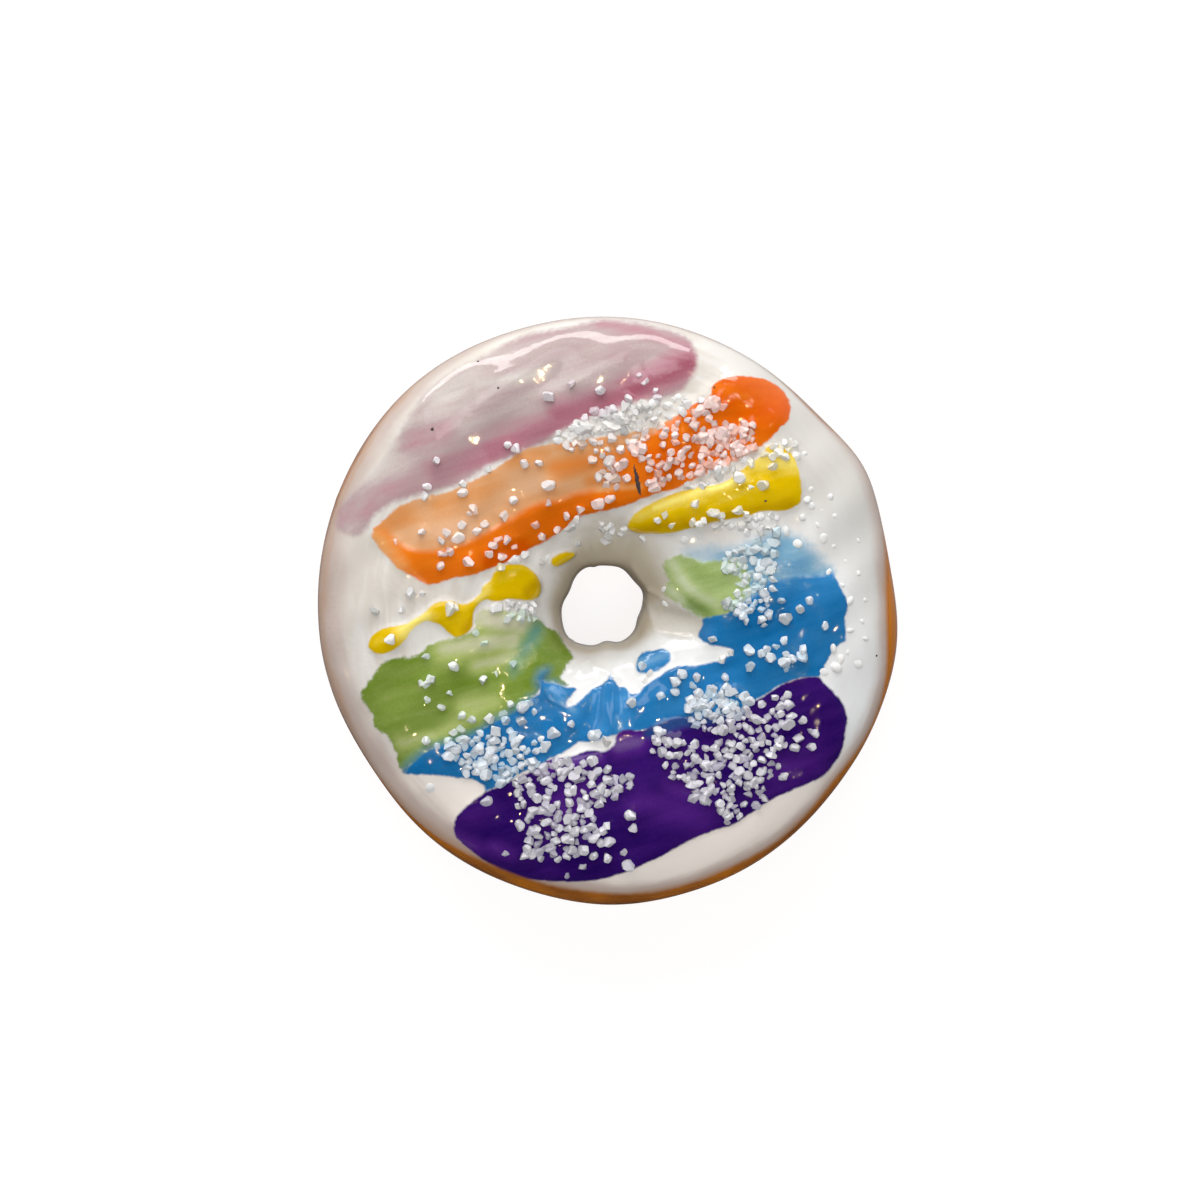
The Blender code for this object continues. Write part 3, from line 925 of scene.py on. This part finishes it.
def icing_glaze():
    """White, with thin glaze and painted shade at rim and hole; strokes laid on one by one."""
    finish = Finish("painted white glaze", {"Roughness": 0.06, "IOR": GLAZE_IOR})
    slow = finish.noise(size=0.014, detail=2.0)
    medium = finish.noise(size=0.005, detail=2.0)
    fine = finish.noise(size=0.0011, detail=3.0)
    grain = finish.noise(size=0.00035, detail=2.0)
    settings = {"vector_type": "TEXTURE"}
    sockets = {"Vector": finish.where, "Rotation": (0, 0, BRUSH_TILT), "Scale": (BRUSH_STRETCH, 1, 1)}
    brushed_way = finish.node("ShaderNodeMapping", settings, sockets).outputs[0]
    streaks = finish.noise(size=0.0018, detail=3.0, where=brushed_way)
    swept_way = finish.node("ShaderNodeAttribute", {"attribute_name": "sweep"}).outputs["Vector"]
    turned = finish.noise(size=0.010, detail=4.0, where=swept_way)

    parts = finish.node("ShaderNodeSeparateXYZ", {}, {0: finish.where}).outputs
    east, north = Tone(finish, parts["X"]), Tone(finish, parts["Y"])
    slow_swing = slow - NOISE_MIDDLE
    turned_swing = turned - NOISE_MIDDLE
    fine_swing = fine - NOISE_MIDDLE
    # thin and hole carry the bands at the rim and in the hole, both partly painted shade
    thin = finish.kept("thin") + turned_swing * 0.55 + (medium - NOISE_MIDDLE) * 0.2
    hole = finish.kept("in_hole") + slow_swing * 0.2
    # The tones of the white: each one's place, from where it starts to where it is full, and share.
    tones = (
        (WHITE, slow + turned_swing * 0.8, 0.3, 0.65, 1.0),
        (CLEAN_WHITE, east * 0.6 - north + slow * 0.02, -0.008, 0.03, 0.8),
        (WARM_WHITE, slow * 0.006 - north, 0.022, 0.034, 0.85),
        (SHADED_WHITE, east + north * 0.5 + slow * 0.01, 0.040, 0.058, 0.75),
        # partly thin glaze over the brown clay, partly painted shade of the rim
        (RIM_GREY_AND_SHADE, thin, 0.12, 0.75, 0.9),
        (THIN_BROWN, thin, 0.70, 1.06, 0.8),
        # partly thin glaze, partly painted shade in and round the hole
        (HOLE_GREY_AND_SHADE, hole, 0.10, 0.75, 1.0),
        (HOLE_BROWN_AND_SHADE, hole, 0.92, 1.06, 1.0),
    )
    colour = CREAM
    for tone, place, start, full, share in tones:
        colour = finish.mix(colour, tone, finish.rise(place, start, full) * share)
    height = medium * 0.6
    brush_marks = (streaks - NOISE_MIDDLE) * 0.42 + (grain - NOISE_MIDDLE) * 0.18
    uneven = brush_marks + slow_swing * 0.25
    masks = {}
    for name, stroke in STROKES.items():
        depth = finish.kept(name + "_depth") + fine_swing * (2 * stroke["ragged"])
        soft = stroke["soft"]
        for other, extra in stroke.get("melts_into", ()):
            soft = masks[other] * extra + soft
        mask = masks[name] = finish.rise(depth, 0 - soft, soft)
        strength = finish.kept(name + "_strength") + uneven
        steps = np.linspace(0, 1, len(stroke["colours"]))
        paint = finish.ramp(strength, *zip(steps, stroke["colours"]))
        colour = finish.mix(colour, paint, mask)
        height = height + mask * (stroke["stands"] * STROKE_RELIEF)
    bare = finish.kept("past_brown") + turned_swing * 4 + fine_swing * 1.5
    colour = finish.mix(honey_colour(finish), colour, finish.rise(bare, low=-2.4, high=2.2))
    finish.surface("Base Color", colour)
    ripple = finish.noise(size=0.0008, detail=1.0)
    rippled = finish.rise(finish.noise(size=0.009, detail=2.0), low=0.48, high=0.62)
    orange_peel = ripple * (rippled * 0.20 + 0.04)
    finish.bump(height + orange_peel, distance=0.0004, strength=0.5)
    return finish.material


icing_coat.data.materials.append(icing_glaze())
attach(icing_coat, "root")
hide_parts("icing")

# The sugar is coarse milky crystals, pressed into the glaze before firing, so that they are fused in.
# Most lie in heaps on the strokes, tinted at the foot by the glaze that they sit in.
HAIR = ((634, 464), (640, 494))
HAIR_MARGIN = 8
PATCH_MARGIN = 2
CRYSTAL_SPACING = 5.0
TRIES_PER_CRYSTAL = 40
GRAIN_SEED = 5
GRAIN_KINDS = 16
GRAIN_CUTS = 10
BALL_RADIUS = 0.55
CUT_DEPTHS = (0.30, 0.44)
MERGED_WITHIN = 0.07
SHARP_DEGREES = 22
GRAIN_SIZE = 0.00152
GRAIN_SPREAD = 0.17
GRAIN_LEAST = 0.0010
GRAIN_MOST = 0.0023
STRETCHES = ((1, 1.3), (0.9, 1.05), (0.75, 1))

# Heaps of crystals: how many, their size against the usual one, and the heap's outline.
CRYSTAL_PATCHES = {
    "orange, right half": (150, 1.0, (
        (560, 440), (600, 425), (640, 405), (690, 398), (715, 400), (735, 430), (750, 425), (757, 440),
        (745, 460), (720, 478), (695, 490), (670, 480), (655, 490), (640, 485), (620, 490), (600, 478),
        (605, 455), (575, 450),
    )),
    "orange, densest": (52, 0.95, ((700, 432), (745, 430), (752, 452), (722, 472), (698, 468))),
    "between green and blue": (60, 1.0, (
        (722, 559), (749, 548), (768, 542), (772, 555), (776, 574), (768, 594), (766, 607), (742, 613),
        (724, 607), (734, 594), (742, 578), (724, 572),
    )),
    "green and blue, left": (74, 1.1, (
        (447, 749), (455, 730), (462, 726), (478, 734), (493, 732), (512, 730), (518, 738), (531, 742),
        (543, 738), (541, 753), (531, 763), (547, 768), (543, 782), (524, 789), (512, 782), (501, 768),
        (485, 766), (470, 766), (462, 759), (451, 755),
    )),
    "purple, left": (110, 1.12, (
        (547, 765), (566, 761), (577, 768), (589, 759), (606, 766), (608, 776), (633, 780), (615, 801),
        (596, 809), (585, 816), (596, 822), (600, 839), (577, 853), (564, 856), (539, 858), (527, 854),
        (531, 830), (547, 826), (535, 812), (543, 801), (518, 803), (514, 795), (524, 787), (539, 787),
    )),
    "purple, right": (166, 0.98, (
        (694, 722), (707, 713), (722, 719), (734, 715), (745, 719), (766, 715), (776, 699), (784, 692),
        (791, 703), (787, 722), (776, 722), (778, 742), (772, 749), (782, 768), (782, 778), (768, 784),
        (763, 801), (745, 803), (742, 812), (732, 824), (722, 824), (715, 803), (699, 801), (694, 789),
        (682, 780), (671, 782), (675, 766), (665, 765), (652, 753), (657, 732), (667, 732), (677, 742),
        (692, 742), (696, 751), (707, 749), (719, 742), (722, 732), (707, 730),
    )),
    "where blue meets purple": (38, 1.0, (
        (690, 707), (699, 694), (722, 688), (742, 698), (749, 711), (742, 717), (722, 715), (707, 709),
    )),
    "white above the hole, left": (16, 1.0, ((506, 602), (533, 604), (534, 618), (508, 620))),
    "white under the yellow bar": (22, 1.0, ((700, 520), (738, 514), (780, 514), (776, 534), (740, 536))),
    "white beside the yellow bar": (10, 1.0, ((764, 448), (790, 444), (796, 458), (770, 458))),
    "white above the orange": (26, 1.1, ((560, 436), (600, 412), (655, 404), (650, 416), (600, 432))),
    "white left of the yellow bar": (9, 1.0, ((600, 525), (625, 522), (624, 538), (604, 540))),
}

# Crystals that stand alone, each at its own place.
LONE_CRYSTALS = {
    "lilac": (
        (438, 460), (427, 488), (423, 497), (463, 485), (463, 493), (487, 470), (508, 446), (516, 450),
        (548, 396), (573, 383), (595, 411), (599, 391), (559, 433), (569, 441), (576, 442), (639, 375),
        (645, 384), (655, 390), (628, 398), (656, 398), (600, 391), (625, 432),
    ),
    "orange": (
        (525, 463), (539, 463), (396, 541), (422, 532), (442, 540), (447, 532), (459, 538), (463, 525),
        (477, 531), (485, 524), (471, 514), (474, 508), (504, 515), (513, 500), (548, 485), (442, 553),
        (451, 551), (441, 565), (468, 562), (492, 545), (498, 540), (507, 539), (514, 547), (488, 554),
        (501, 557), (500, 566), (515, 559), (525, 554), (534, 525), (541, 536), (547, 504), (556, 527),
        (566, 515), (569, 527), (577, 517), (581, 508), (599, 502), (611, 499), (598, 477), (607, 477),
        (609, 468), (593, 460),
    ),
    "yellow": (
        (659, 520), (667, 515), (674, 524), (696, 503), (714, 513), (722, 514), (694, 521), (700, 522),
        (739, 479), (751, 465), (750, 488), (761, 485), (739, 510), (773, 468), (643, 539), (455, 607),
        (393, 639),
    ),
    "blue, right": (
        (742, 617), (747, 620), (761, 620), (764, 624), (769, 613), (785, 620), (713, 639), (824, 624),
        (750, 651), (763, 654), (770, 657), (776, 647), (784, 641), (785, 654), (784, 661), (792, 658),
        (801, 651), (801, 657), (787, 669), (750, 666), (766, 650), (800, 609), (780, 600), (809, 602),
        (684, 675), (677, 682), (696, 677), (694, 686), (675, 691), (726, 677), (661, 698), (632, 705),
        (644, 667), (651, 673), (646, 682), (730, 651), (722, 657),
    ),
    "green, left": (
        (428, 741), (438, 746), (467, 773), (478, 770), (486, 773), (496, 778), (501, 782), (462, 715),
        (472, 721), (491, 719), (504, 713), (510, 705), (521, 707), (528, 704), (534, 712), (505, 720),
        (521, 721), (455, 667), (427, 658), (484, 643), (483, 679), (494, 675), (451, 692), (427, 684),
        (422, 682), (431, 680), (427, 699), (441, 707), (512, 665), (477, 633), (554, 732), (571, 725),
        (449, 608), (495, 608), (376, 611), (542, 560), (578, 544), (410, 594), (424, 595), (402, 609),
    ),
    "purple": (
        (488, 802), (506, 851), (521, 825), (529, 815), (529, 820), (531, 830), (607, 825), (594, 838),
        (611, 839), (594, 855), (606, 856), (624, 851), (629, 816), (632, 827), (628, 865), (567, 874),
        (584, 865), (596, 736), (608, 739), (803, 719), (809, 730), (814, 734), (797, 738), (794, 745),
        (809, 747), (782, 746), (787, 724), (761, 705),
    ),
}
BIG_CRYSTALS = {(554, 732), (628, 865), (785, 620), (596, 736), (611, 839)}
BIG_SIZE = 1.4
LONE_SIZE = 1.1
MILKY = (0.91, 0.91, 0.93)
STAINED = {(376, 611), (625, 432)}
STAIN = (0.34, 0.36, 0.37)

# The glaze under a crystal shows through it: the tint, and its share at the crystal's top. The
# share is larger further down, and all over a crystal that is drowned in the glaze; the larger
# share at the foot is also painted shade between neighbouring crystals.
SEEN_THROUGH = {
    "clear_pool": ((0.70, 0.67, 0.60), 0.25),
    "lilac": ((0.66, 0.46, 0.53), 0.26),
    "orange_wash": ((0.80, 0.54, 0.40), 0.30),
    "orange": ((0.86, 0.38, 0.26), 0.44),
    "yellow": ((0.84, 0.74, 0.36), 0.10),
    "green": ((0.44, 0.60, 0.44), 0.30),
    "green_right": ((0.44, 0.62, 0.52), 0.34),
    "teal": ((0.36, 0.58, 0.54), 0.34),
    "blue_wash": ((0.38, 0.58, 0.66), 0.36),
    "blue": ((0.26, 0.46, 0.62), 0.26),
    "purple": ((0.24, 0.20, 0.34), 0.25),
    "ink": ((0.20, 0.28, 0.44), 0.28),
}
OVER_WHITE = ((0.72, 0.70, 0.66), 0.32)
FOOT_TINT_AND_SHADE = 0.88
TINT_FADE = 1.5
TINT_MOST = 0.95
TINT_DROWNED = (0.15, 0.45)
TINT_BRIGHTNESS = (0.84, 1.04)
FACET_LIGHT_AND_SHADE = (0.76, 1.15)
CLOUD = (0.60, 0.61, 0.64, 1.0)
DROWNED_SHARE = 0.40
DROWNED_ON_WHITE = 0.7
DROWNED_RISE = (-0.12, 0.06)
STANDING_RISE = (0.06, 0.32)

# The glaze creeps up round each crystal: its height and reach as shares of the crystal's size.
CREEP_HEIGHT = 0.16
CREEP_REACH = 0.75


def unit_vector(draw):
    toward = Vector((draw.gauss(0, 1), draw.gauss(0, 1), draw.gauss(0, 1)))
    return toward.normalized()


def chiselled_grain(draw):
    """A ball with flat sides cut off at random, as points and faces."""
    bpy.ops.object.select_all(action="DESELECT")
    bpy.ops.mesh.primitive_ico_sphere_add(subdivisions=2, radius=BALL_RADIUS)
    grain = bpy.context.active_object
    bpy.ops.object.mode_set(mode="EDIT")
    for _ in range(GRAIN_CUTS):
        toward = unit_vector(draw)
        bpy.ops.mesh.select_all(action="SELECT")
        cut = toward * draw.uniform(*CUT_DEPTHS)
        bpy.ops.mesh.bisect(plane_co=cut, plane_no=toward, use_fill=True, clear_outer=True)
    bpy.ops.mesh.select_all(action="SELECT")
    bpy.ops.mesh.remove_doubles(threshold=MERGED_WITHIN)
    bpy.ops.mesh.normals_make_consistent(inside=False)
    bpy.ops.object.mode_set(mode="OBJECT")
    points = np.array([vertex.co for vertex in grain.data.vertices])
    faces = [tuple(face.vertices) for face in grain.data.polygons]
    bpy.data.objects.remove(grain)
    return points - points.mean(axis=0), faces


def in_patch(draw, corners, count, taken, spacing):
    """Places inside an outline and off the hair, no closer together or to those taken than this."""
    xs, ys = zip(*corners)
    tries = TRIES_PER_CRYSTAL * count
    right = np.array([draw.uniform(min(xs), max(xs)) for _ in range(tries)])
    down = np.array([draw.uniform(min(ys), max(ys)) for _ in range(tries)])
    inside = depth_inside(right, down, corners) > -PATCH_MARGIN
    fits = inside & (from_line(right, down, *HAIR) > HAIR_MARGIN)
    places = []
    for place in zip(right[fits], down[fits]):
        if all(math.dist(place, other) > spacing for other in taken + places):
            places.append(place)
        if len(places) == count:
            break
    return places


def on_icing(place):
    """The icing's point and normal that the picture shows at a place, and its row and column."""
    off = (picture_right - place[0]) ** 2 + (picture_down - place[1]) ** 2
    spot = np.unravel_index(np.argmin(off), off.shape)
    return top_points[spot], top_normals[spot], spot


def glaze_under(spot):
    """The uppermost stroke at a point of the icing, or None on the white."""
    under = None
    for name in STROKES:
        if depths[name][spot] > 0:
            under = name
    return under


def joined_mesh(name, parts):
    """One mesh of many parts, each given as points and faces."""
    points, faces, start = [], [], 0
    for part_points, part_faces in parts:
        points.append(part_points)
        faces += [tuple(start + corner for corner in face) for face in part_faces]
        start += len(part_points)
    mesh = bpy.data.meshes.new(name)
    mesh.from_pydata(np.concatenate(points).tolist(), [], faces)
    piece = bpy.data.objects.new(name, mesh)
    bpy.context.scene.collection.objects.link(piece)
    return piece


def turned_any_way(draw):
    return Matrix.Rotation(draw.uniform(0, 2 * math.pi), 3, unit_vector(draw))


def crystal_finish():
    finish = Finish("milky crystal", {"IOR": GLAZE_IOR})
    tint = finish.node("ShaderNodeAttribute", {"attribute_name": "tint"}).outputs["Color"]
    cloudy = finish.noise(size=0.0009, detail=3.0)
    colour = finish.mix(tint, CLOUD, finish.rise(cloudy, low=0.5, high=0.8) * 0.3)
    # each facet's painted light and shade scales the colour
    sockets = {0: colour, "Scale": finish.kept("facet")}
    lit = finish.node("ShaderNodeVectorMath", {"operation": "SCALE"}, sockets).outputs[0]
    finish.surface("Base Color", lit)
    rougher = finish.rise(cloudy, low=0.3, high=0.7, to_low=0.2, to_high=0.5)
    finish.surface("Roughness", rougher)
    finish.bump(finish.noise(size=0.0003, detail=3.0), distance=0.00006, strength=0.7)
    return finish.material


draw = random.Random(GRAIN_SEED)
grain_kinds = [chiselled_grain(draw) for _ in range(GRAIN_KINDS)]
crystal_sizes = {place: LONE_SIZE for places in LONE_CRYSTALS.values() for place in places}
crystal_sizes.update(dict.fromkeys(BIG_CRYSTALS, BIG_SIZE))
for count, share, corners in CRYSTAL_PATCHES.values():
    found = in_patch(draw, corners, count, list(crystal_sizes), CRYSTAL_SPACING)
    crystal_sizes.update(dict.fromkeys(found, share))

grains, tints = [], []
creep = np.zeros(picture_right.shape)
for place, size_share in crystal_sizes.items():
    point, normal, spot = on_icing(place)
    under = glaze_under(spot)
    seen, top_share = SEEN_THROUGH[under] if under else OVER_WHITE
    size = size_share * GRAIN_SIZE * math.exp(draw.gauss(0, GRAIN_SPREAD))
    size = min(max(size, GRAIN_LEAST), GRAIN_MOST)
    drowned = draw.random() < (DROWNED_SHARE if under else DROWNED_ON_WHITE)
    if place in BIG_CRYSTALS or place in STAINED:
        drowned = False
    shape, faces = draw.choice(grain_kinds)
    stretched = Matrix.Diagonal([draw.uniform(*stretch) for stretch in STRETCHES])
    turned = np.array(turned_any_way(draw) @ stretched)
    risen = draw.uniform(*(DROWNED_RISE if drowned else STANDING_RISE))
    local = shape @ turned.T * size
    height = local @ normal / size + risen
    share = top_share + draw.uniform(*TINT_DROWNED) if drowned else top_share
    share = np.clip(FOOT_TINT_AND_SHADE - TINT_FADE * height, share, TINT_MOST)[:, None]
    milky = np.array(STAIN if place in STAINED else MILKY)
    tint = milky * (1 - share) + np.array(seen) * share
    grains.append((local + point + normal * size * risen, faces))
    tints.append(tint * draw.uniform(*TINT_BRIGHTNESS))
    near = np.hypot(picture_right - place[0], picture_down - place[1]) * PIXEL / size
    creep = np.maximum(creep, size * CREEP_HEIGHT * np.exp(-((near / CREEP_REACH) ** 2)))
sugar = joined_mesh("sugar_crystals", grains)
all_tints = np.concatenate(tints)
with_alpha = np.column_stack([all_tints, np.ones(len(all_tints))])
sugar.data.shade_smooth()
sugar.data.set_sharp_from_angle(angle=math.radians(SHARP_DEGREES))
# Each face gets its own brightness: painted light and shade of lit and shaded facets.
painted_facet_shading = [draw.uniform(*FACET_LIGHT_AND_SHADE) for _ in sugar.data.polygons]
sugar.data.attributes.new("facet", "FLOAT", "FACE").data.foreach_set("value", painted_facet_shading)
sugar.data.attributes.new("tint", "FLOAT_COLOR", "POINT").data.foreach_set("color", with_alpha.ravel())
sugar.data.materials.append(crystal_finish())
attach(sugar, "root")

crept = np.concatenate([top_points + top_normals * creep[..., None], np.array(under_rows)])
icing_coat.data.vertices.foreach_set("co", crept[row, column].ravel())
icing_coat.data.update()

# Some crystals on the white are drowned in the glaze, which ran over them before it froze, and
# show as smooth white lumps. Each has its place, and its size as a share of COATED_SIZE.
COATED_PLACES = (
    (812, 490, 0.7), (825, 541, 1.0), (836, 515, 0.6), (797, 541, 0.8), (803, 517, 0.6), (831, 495, 0.5),
    (850, 600, 1.0), (827, 671, 1.2), (834, 668, 0.8), (856, 663, 0.9), (432, 787, 0.9), (846, 560, 0.5),
    (858, 540, 0.5), (835, 648, 0.8), (866, 600, 0.5), (822, 510, 0.5), (640, 408, 0.7), (560, 441, 0.7),
    (548, 556, 0.8), (700, 536, 0.7), (664, 590, 0.6), (663, 602, 0.6), (829, 570, 0.6), (834, 546, 0.5),
    (787, 531, 0.8), (842, 585, 0.4), (862, 620, 0.5), (850, 632, 0.6), (868, 640, 0.4), (812, 508, 0.8),
    (806, 500, 0.7), (818, 524, 0.5), (790, 440, 0.6), (806, 452, 0.4), (860, 572, 0.4), (684, 540, 0.8),
    (720, 530, 0.8), (752, 524, 0.9), (768, 522, 0.9), (630, 408, 0.8), (655, 402, 0.9), (668, 404, 0.9),
    (680, 398, 0.8), (600, 424, 0.9), (612, 416, 0.9), (586, 430, 0.8), (730, 651, 1.0), (722, 657, 0.8),
    (848, 655, 0.6), (841, 660, 0.9),
)
COATED_SIZE = 0.00105
COATED_SUNK = 0.25
COATED_WIDTHS = (0.65, 1)
COATED_HEIGHT = 0.6
TURN_MOST = 6.28
LUMP_PRESSES = 6
LUMP_PRESS_DEPTH = 0.16


def plain_white_glaze():
    finish = Finish("white glaze", {"Roughness": 0.08, "IOR": GLAZE_IOR})
    slow = finish.noise(size=0.003, detail=2.0)
    finish.surface("Base Color", finish.mix(WHITE, CLEAN_WHITE, slow))
    return finish.material


def smooth_lump(draw):
    """A ball pressed out of round, as points and faces."""
    bpy.ops.object.select_all(action="DESELECT")
    bpy.ops.mesh.primitive_ico_sphere_add(subdivisions=3, radius=1)
    ball = bpy.context.active_object
    points = np.array([vertex.co for vertex in ball.data.vertices])
    faces = [tuple(face.vertices) for face in ball.data.polygons]
    bpy.data.objects.remove(ball)
    for _ in range(LUMP_PRESSES):
        toward = np.array(unit_vector(draw))
        points = points * (1 + LUMP_PRESS_DEPTH * np.tanh(2 * points @ toward))[:, None]
    return points, faces


lumps = []
for right, down, share in COATED_PLACES:
    point, normal, _ = on_icing((right, down))
    size = COATED_SIZE * share
    points, faces = smooth_lump(draw)
    flattened = points @ np.array(Matrix.Diagonal((1, draw.uniform(*COATED_WIDTHS), COATED_HEIGHT)))
    facing = Vector(normal).to_track_quat("Z", "Y").to_matrix()
    lying = np.array(facing @ Matrix.Rotation(draw.uniform(0, TURN_MOST), 3, "Z"))
    lumps.append((flattened @ lying.T * size + point - normal * COATED_SUNK * size, faces))
coated = joined_mesh("coated_crystals", lumps)
coated.data.shade_smooth()
coated.data.materials.append(plain_white_glaze())
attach(coated, "root")

# Kiln dirt, fired into the glaze: a dark hair across the orange stroke, and a few specks of iron
# and pinholes, each with its place and its radius in pixels.
SPECKS = (
    (433, 429, 1.6), (478, 362, 1.1), (498, 389, 0.9), (714, 388, 1.0), (765, 501, 1.1), (876, 657, 1.2),
)
MARK_HEIGHT = 0.45
HAIR_BALLS = 31
HAIR_RADIUS = 1.9
HAIR_ENDS = 0.35
HAIR_BELLY = 1.5
HAIR_LIFT = 0.00004
SPECK_COLOUR = shade(30, 27, 30)
SPECK_GREY = shade(80, 72, 76)


def speck_finish():
    finish = Finish("iron speck", {"Roughness": 0.35})
    greyer = finish.noise(size=0.0016, detail=2.0)
    finish.surface("Base Color", finish.mix(SPECK_COLOUR, SPECK_GREY, greyer))
    return finish.material


spots = []
for right, down, radius in SPECKS:
    point, normal, _ = on_icing((right, down))
    spots.append((point, normal, radius * PIXEL))
for along in np.linspace(0, 1, HAIR_BALLS):
    place = np.array(HAIR[0]) * (1 - along) + np.array(HAIR[1]) * along
    point, normal, spot = on_icing(place)
    east, south = (place - (picture_right[spot], picture_down[spot])) * PIXEL
    fall = (normal[0] * east - normal[1] * south) / normal[2]
    swelling = HAIR_ENDS + (1 - HAIR_ENDS) * math.sin(math.pi * along**HAIR_BELLY)
    laid = point + (east, -south, HAIR_LIFT - fall)
    spots.append((laid, normal, HAIR_RADIUS * PIXEL * swelling))
marks = []
for point, normal, radius in spots:
    points, faces = smooth_lump(draw)
    lying = np.array(Vector(normal).to_track_quat("Z", "Y").to_matrix())
    marks.append(((points * (1, 1, MARK_HEIGHT)) @ lying.T * radius + point, faces))
specks = joined_mesh("kiln_specks", marks)
specks.data.shade_smooth()
specks.data.materials.append(speck_finish())
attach(specks, "root")

# The studio: a plain white floor that glows, soft light from windows past the doughnut's top
# edge, and ten small warm bulbs that show only as sparkles in the glaze.
FLOOR_WIDTH = 3.0
FLOOR_HEIGHT = -0.0001
FLOOR_GREY = (0.22, 0.22, 0.22, 1.0)
FLOOR_GLOW = 0.85


def floor_finish():
    constants = {"Base Color": FLOOR_GREY, "Roughness": 0.9}
    constants.update({"Emission Color": (1, 1, 1, 1), "Emission Strength": FLOOR_GLOW})
    return Finish("paper", constants).material


bpy.ops.object.select_all(action="DESELECT")
bpy.ops.mesh.primitive_plane_add(size=FLOOR_WIDTH, location=(0, 0, FLOOR_HEIGHT))
floor = bpy.context.active_object
floor.name = "floor"
floor.data.materials.append(floor_finish())
floor.visible_glossy = False


def lamp(name, azimuth, elevation, distance, size, colour, power, mirrored):
    """A rectangular light that faces the doughnut; azimuth 90 is past its top edge."""
    around, up = math.radians(azimuth), math.radians(elevation)
    toward = Vector((math.cos(up) * math.cos(around), math.cos(up) * math.sin(around), math.sin(up)))
    light = bpy.data.lights.new(name, "AREA")
    light.shape = "RECTANGLE"
    light.size, light.size_y = size
    light.color = colour
    light.energy = power
    made = bpy.data.objects.new(name, light)
    made.location = toward * distance
    made.rotation_euler = toward.to_track_quat("Z", "Y").to_euler()
    made.visible_glossy = mirrored
    bpy.context.scene.collection.objects.link(made)
    return made


DAYLIGHT = (1.0, 0.99, 0.98)
WARM_LIGHT = (1.0, 0.72, 0.38)

# Azimuth and elevation in degrees, distance, width and height, power, and whether the glaze
# mirrors the lamp.
DAYLIGHTS = {
    "window": (100, 12, 0.8, (0.9, 0.18), 3.3, True),
    "side_window": (74, 30, 0.8, (0.30, 0.010), 0.05, True),
    "high_window": (105, 50, 1.0, (0.7, 0.3), 1.4, True),
    "sky": (97, 38, 1.2, (1.2, 0.8), 6.0, False),
    "fill": (270, 76, 1.4, (1.4, 1.0), 13.5, False),
    "side_strip": (47, 50, 1.0, (0.16, 0.006), 0.075, True),
}
for name, (azimuth, elevation, distance, size, power, mirrored) in DAYLIGHTS.items():
    lamp(name, azimuth, elevation, distance, size, DAYLIGHT, power, mirrored)

BULB_DISTANCE = 1.0
BULB_SIZE = (0.012, 0.008)
BULB_POWER = 0.25
BULBS = (
    (85, 65), (79, 67), (74, 69), (46, 55), (47, 40), (190, 14), (336, 56), (243, 64), (194, 58),
    (9, 80),
)
for azimuth, elevation in BULBS:
    bulb = lamp(
        "warm_bulb", azimuth, elevation, BULB_DISTANCE, BULB_SIZE, WARM_LIGHT, BULB_POWER, mirrored=True
    )
    bulb.visible_diffuse = False

# The room round it is darkest overhead and on the near side, and brightest past the top edge.
ZENITH = 0.03
HORIZON = 0.42
DARK_SIDE = 0.06
BRIGHT_SIDE = 1.5
UPWARD_FADE = (0.1, 0.85)
SIDEWAYS_FADE = (-0.4, 0.7)


def sky_rise(value, low, high, to_low, to_high):
    fade = sky_nodes.new("ShaderNodeMapRange")
    fade.interpolation_type = "SMOOTHSTEP"
    ends = {"From Min": low, "From Max": high, "To Min": to_low, "To Max": to_high}
    for socket, number in ends.items():
        fade.inputs[socket].default_value = number
    sky_links.new(value, fade.inputs["Value"])
    return fade.outputs[0]


world = bpy.data.worlds.new("studio")
world.use_nodes = True
bpy.context.scene.world = world
sky_nodes = world.node_tree.nodes
sky_links = world.node_tree.links
parts = sky_nodes.new("ShaderNodeSeparateXYZ")
sky_links.new(sky_nodes.new("ShaderNodeTexCoord").outputs["Generated"], parts.inputs[0])
strength = sky_nodes.new("ShaderNodeMath")
strength.operation = "MULTIPLY"
upward = sky_rise(parts.outputs["Z"], *UPWARD_FADE, HORIZON, ZENITH)
sideways = sky_rise(parts.outputs["Y"], *SIDEWAYS_FADE, DARK_SIDE, BRIGHT_SIDE)
sky_links.new(upward, strength.inputs[0])
sky_links.new(sideways, strength.inputs[1])
sky_links.new(strength.outputs[0], sky_nodes["Background"].inputs["Strength"])
sky_nodes["Background"].inputs["Color"].default_value = (1, 1, 1, 1)

# The camera looks straight down on the doughnut from about 0.6 m up. Its lens makes each pixel of
# the picture PIXEL wide at the doughnut's waist.
SENSOR = 36.0
NEAREST = 0.01
camera_data = bpy.data.cameras.new("camera")
camera_data.sensor_width = SENSOR
camera_data.lens = SENSOR * (CAMERA_HEIGHT - WAIST_HEIGHT) / (PICTURE_WIDTH * PIXEL)
camera_data.clip_start = NEAREST
camera = bpy.data.objects.new("camera", camera_data)
camera.location = (CAMERA_X, CAMERA_Y, CAMERA_HEIGHT)
bpy.context.scene.collection.objects.link(camera)
bpy.context.scene.camera = camera
bpy.context.scene.view_settings.view_transform = "Standard"
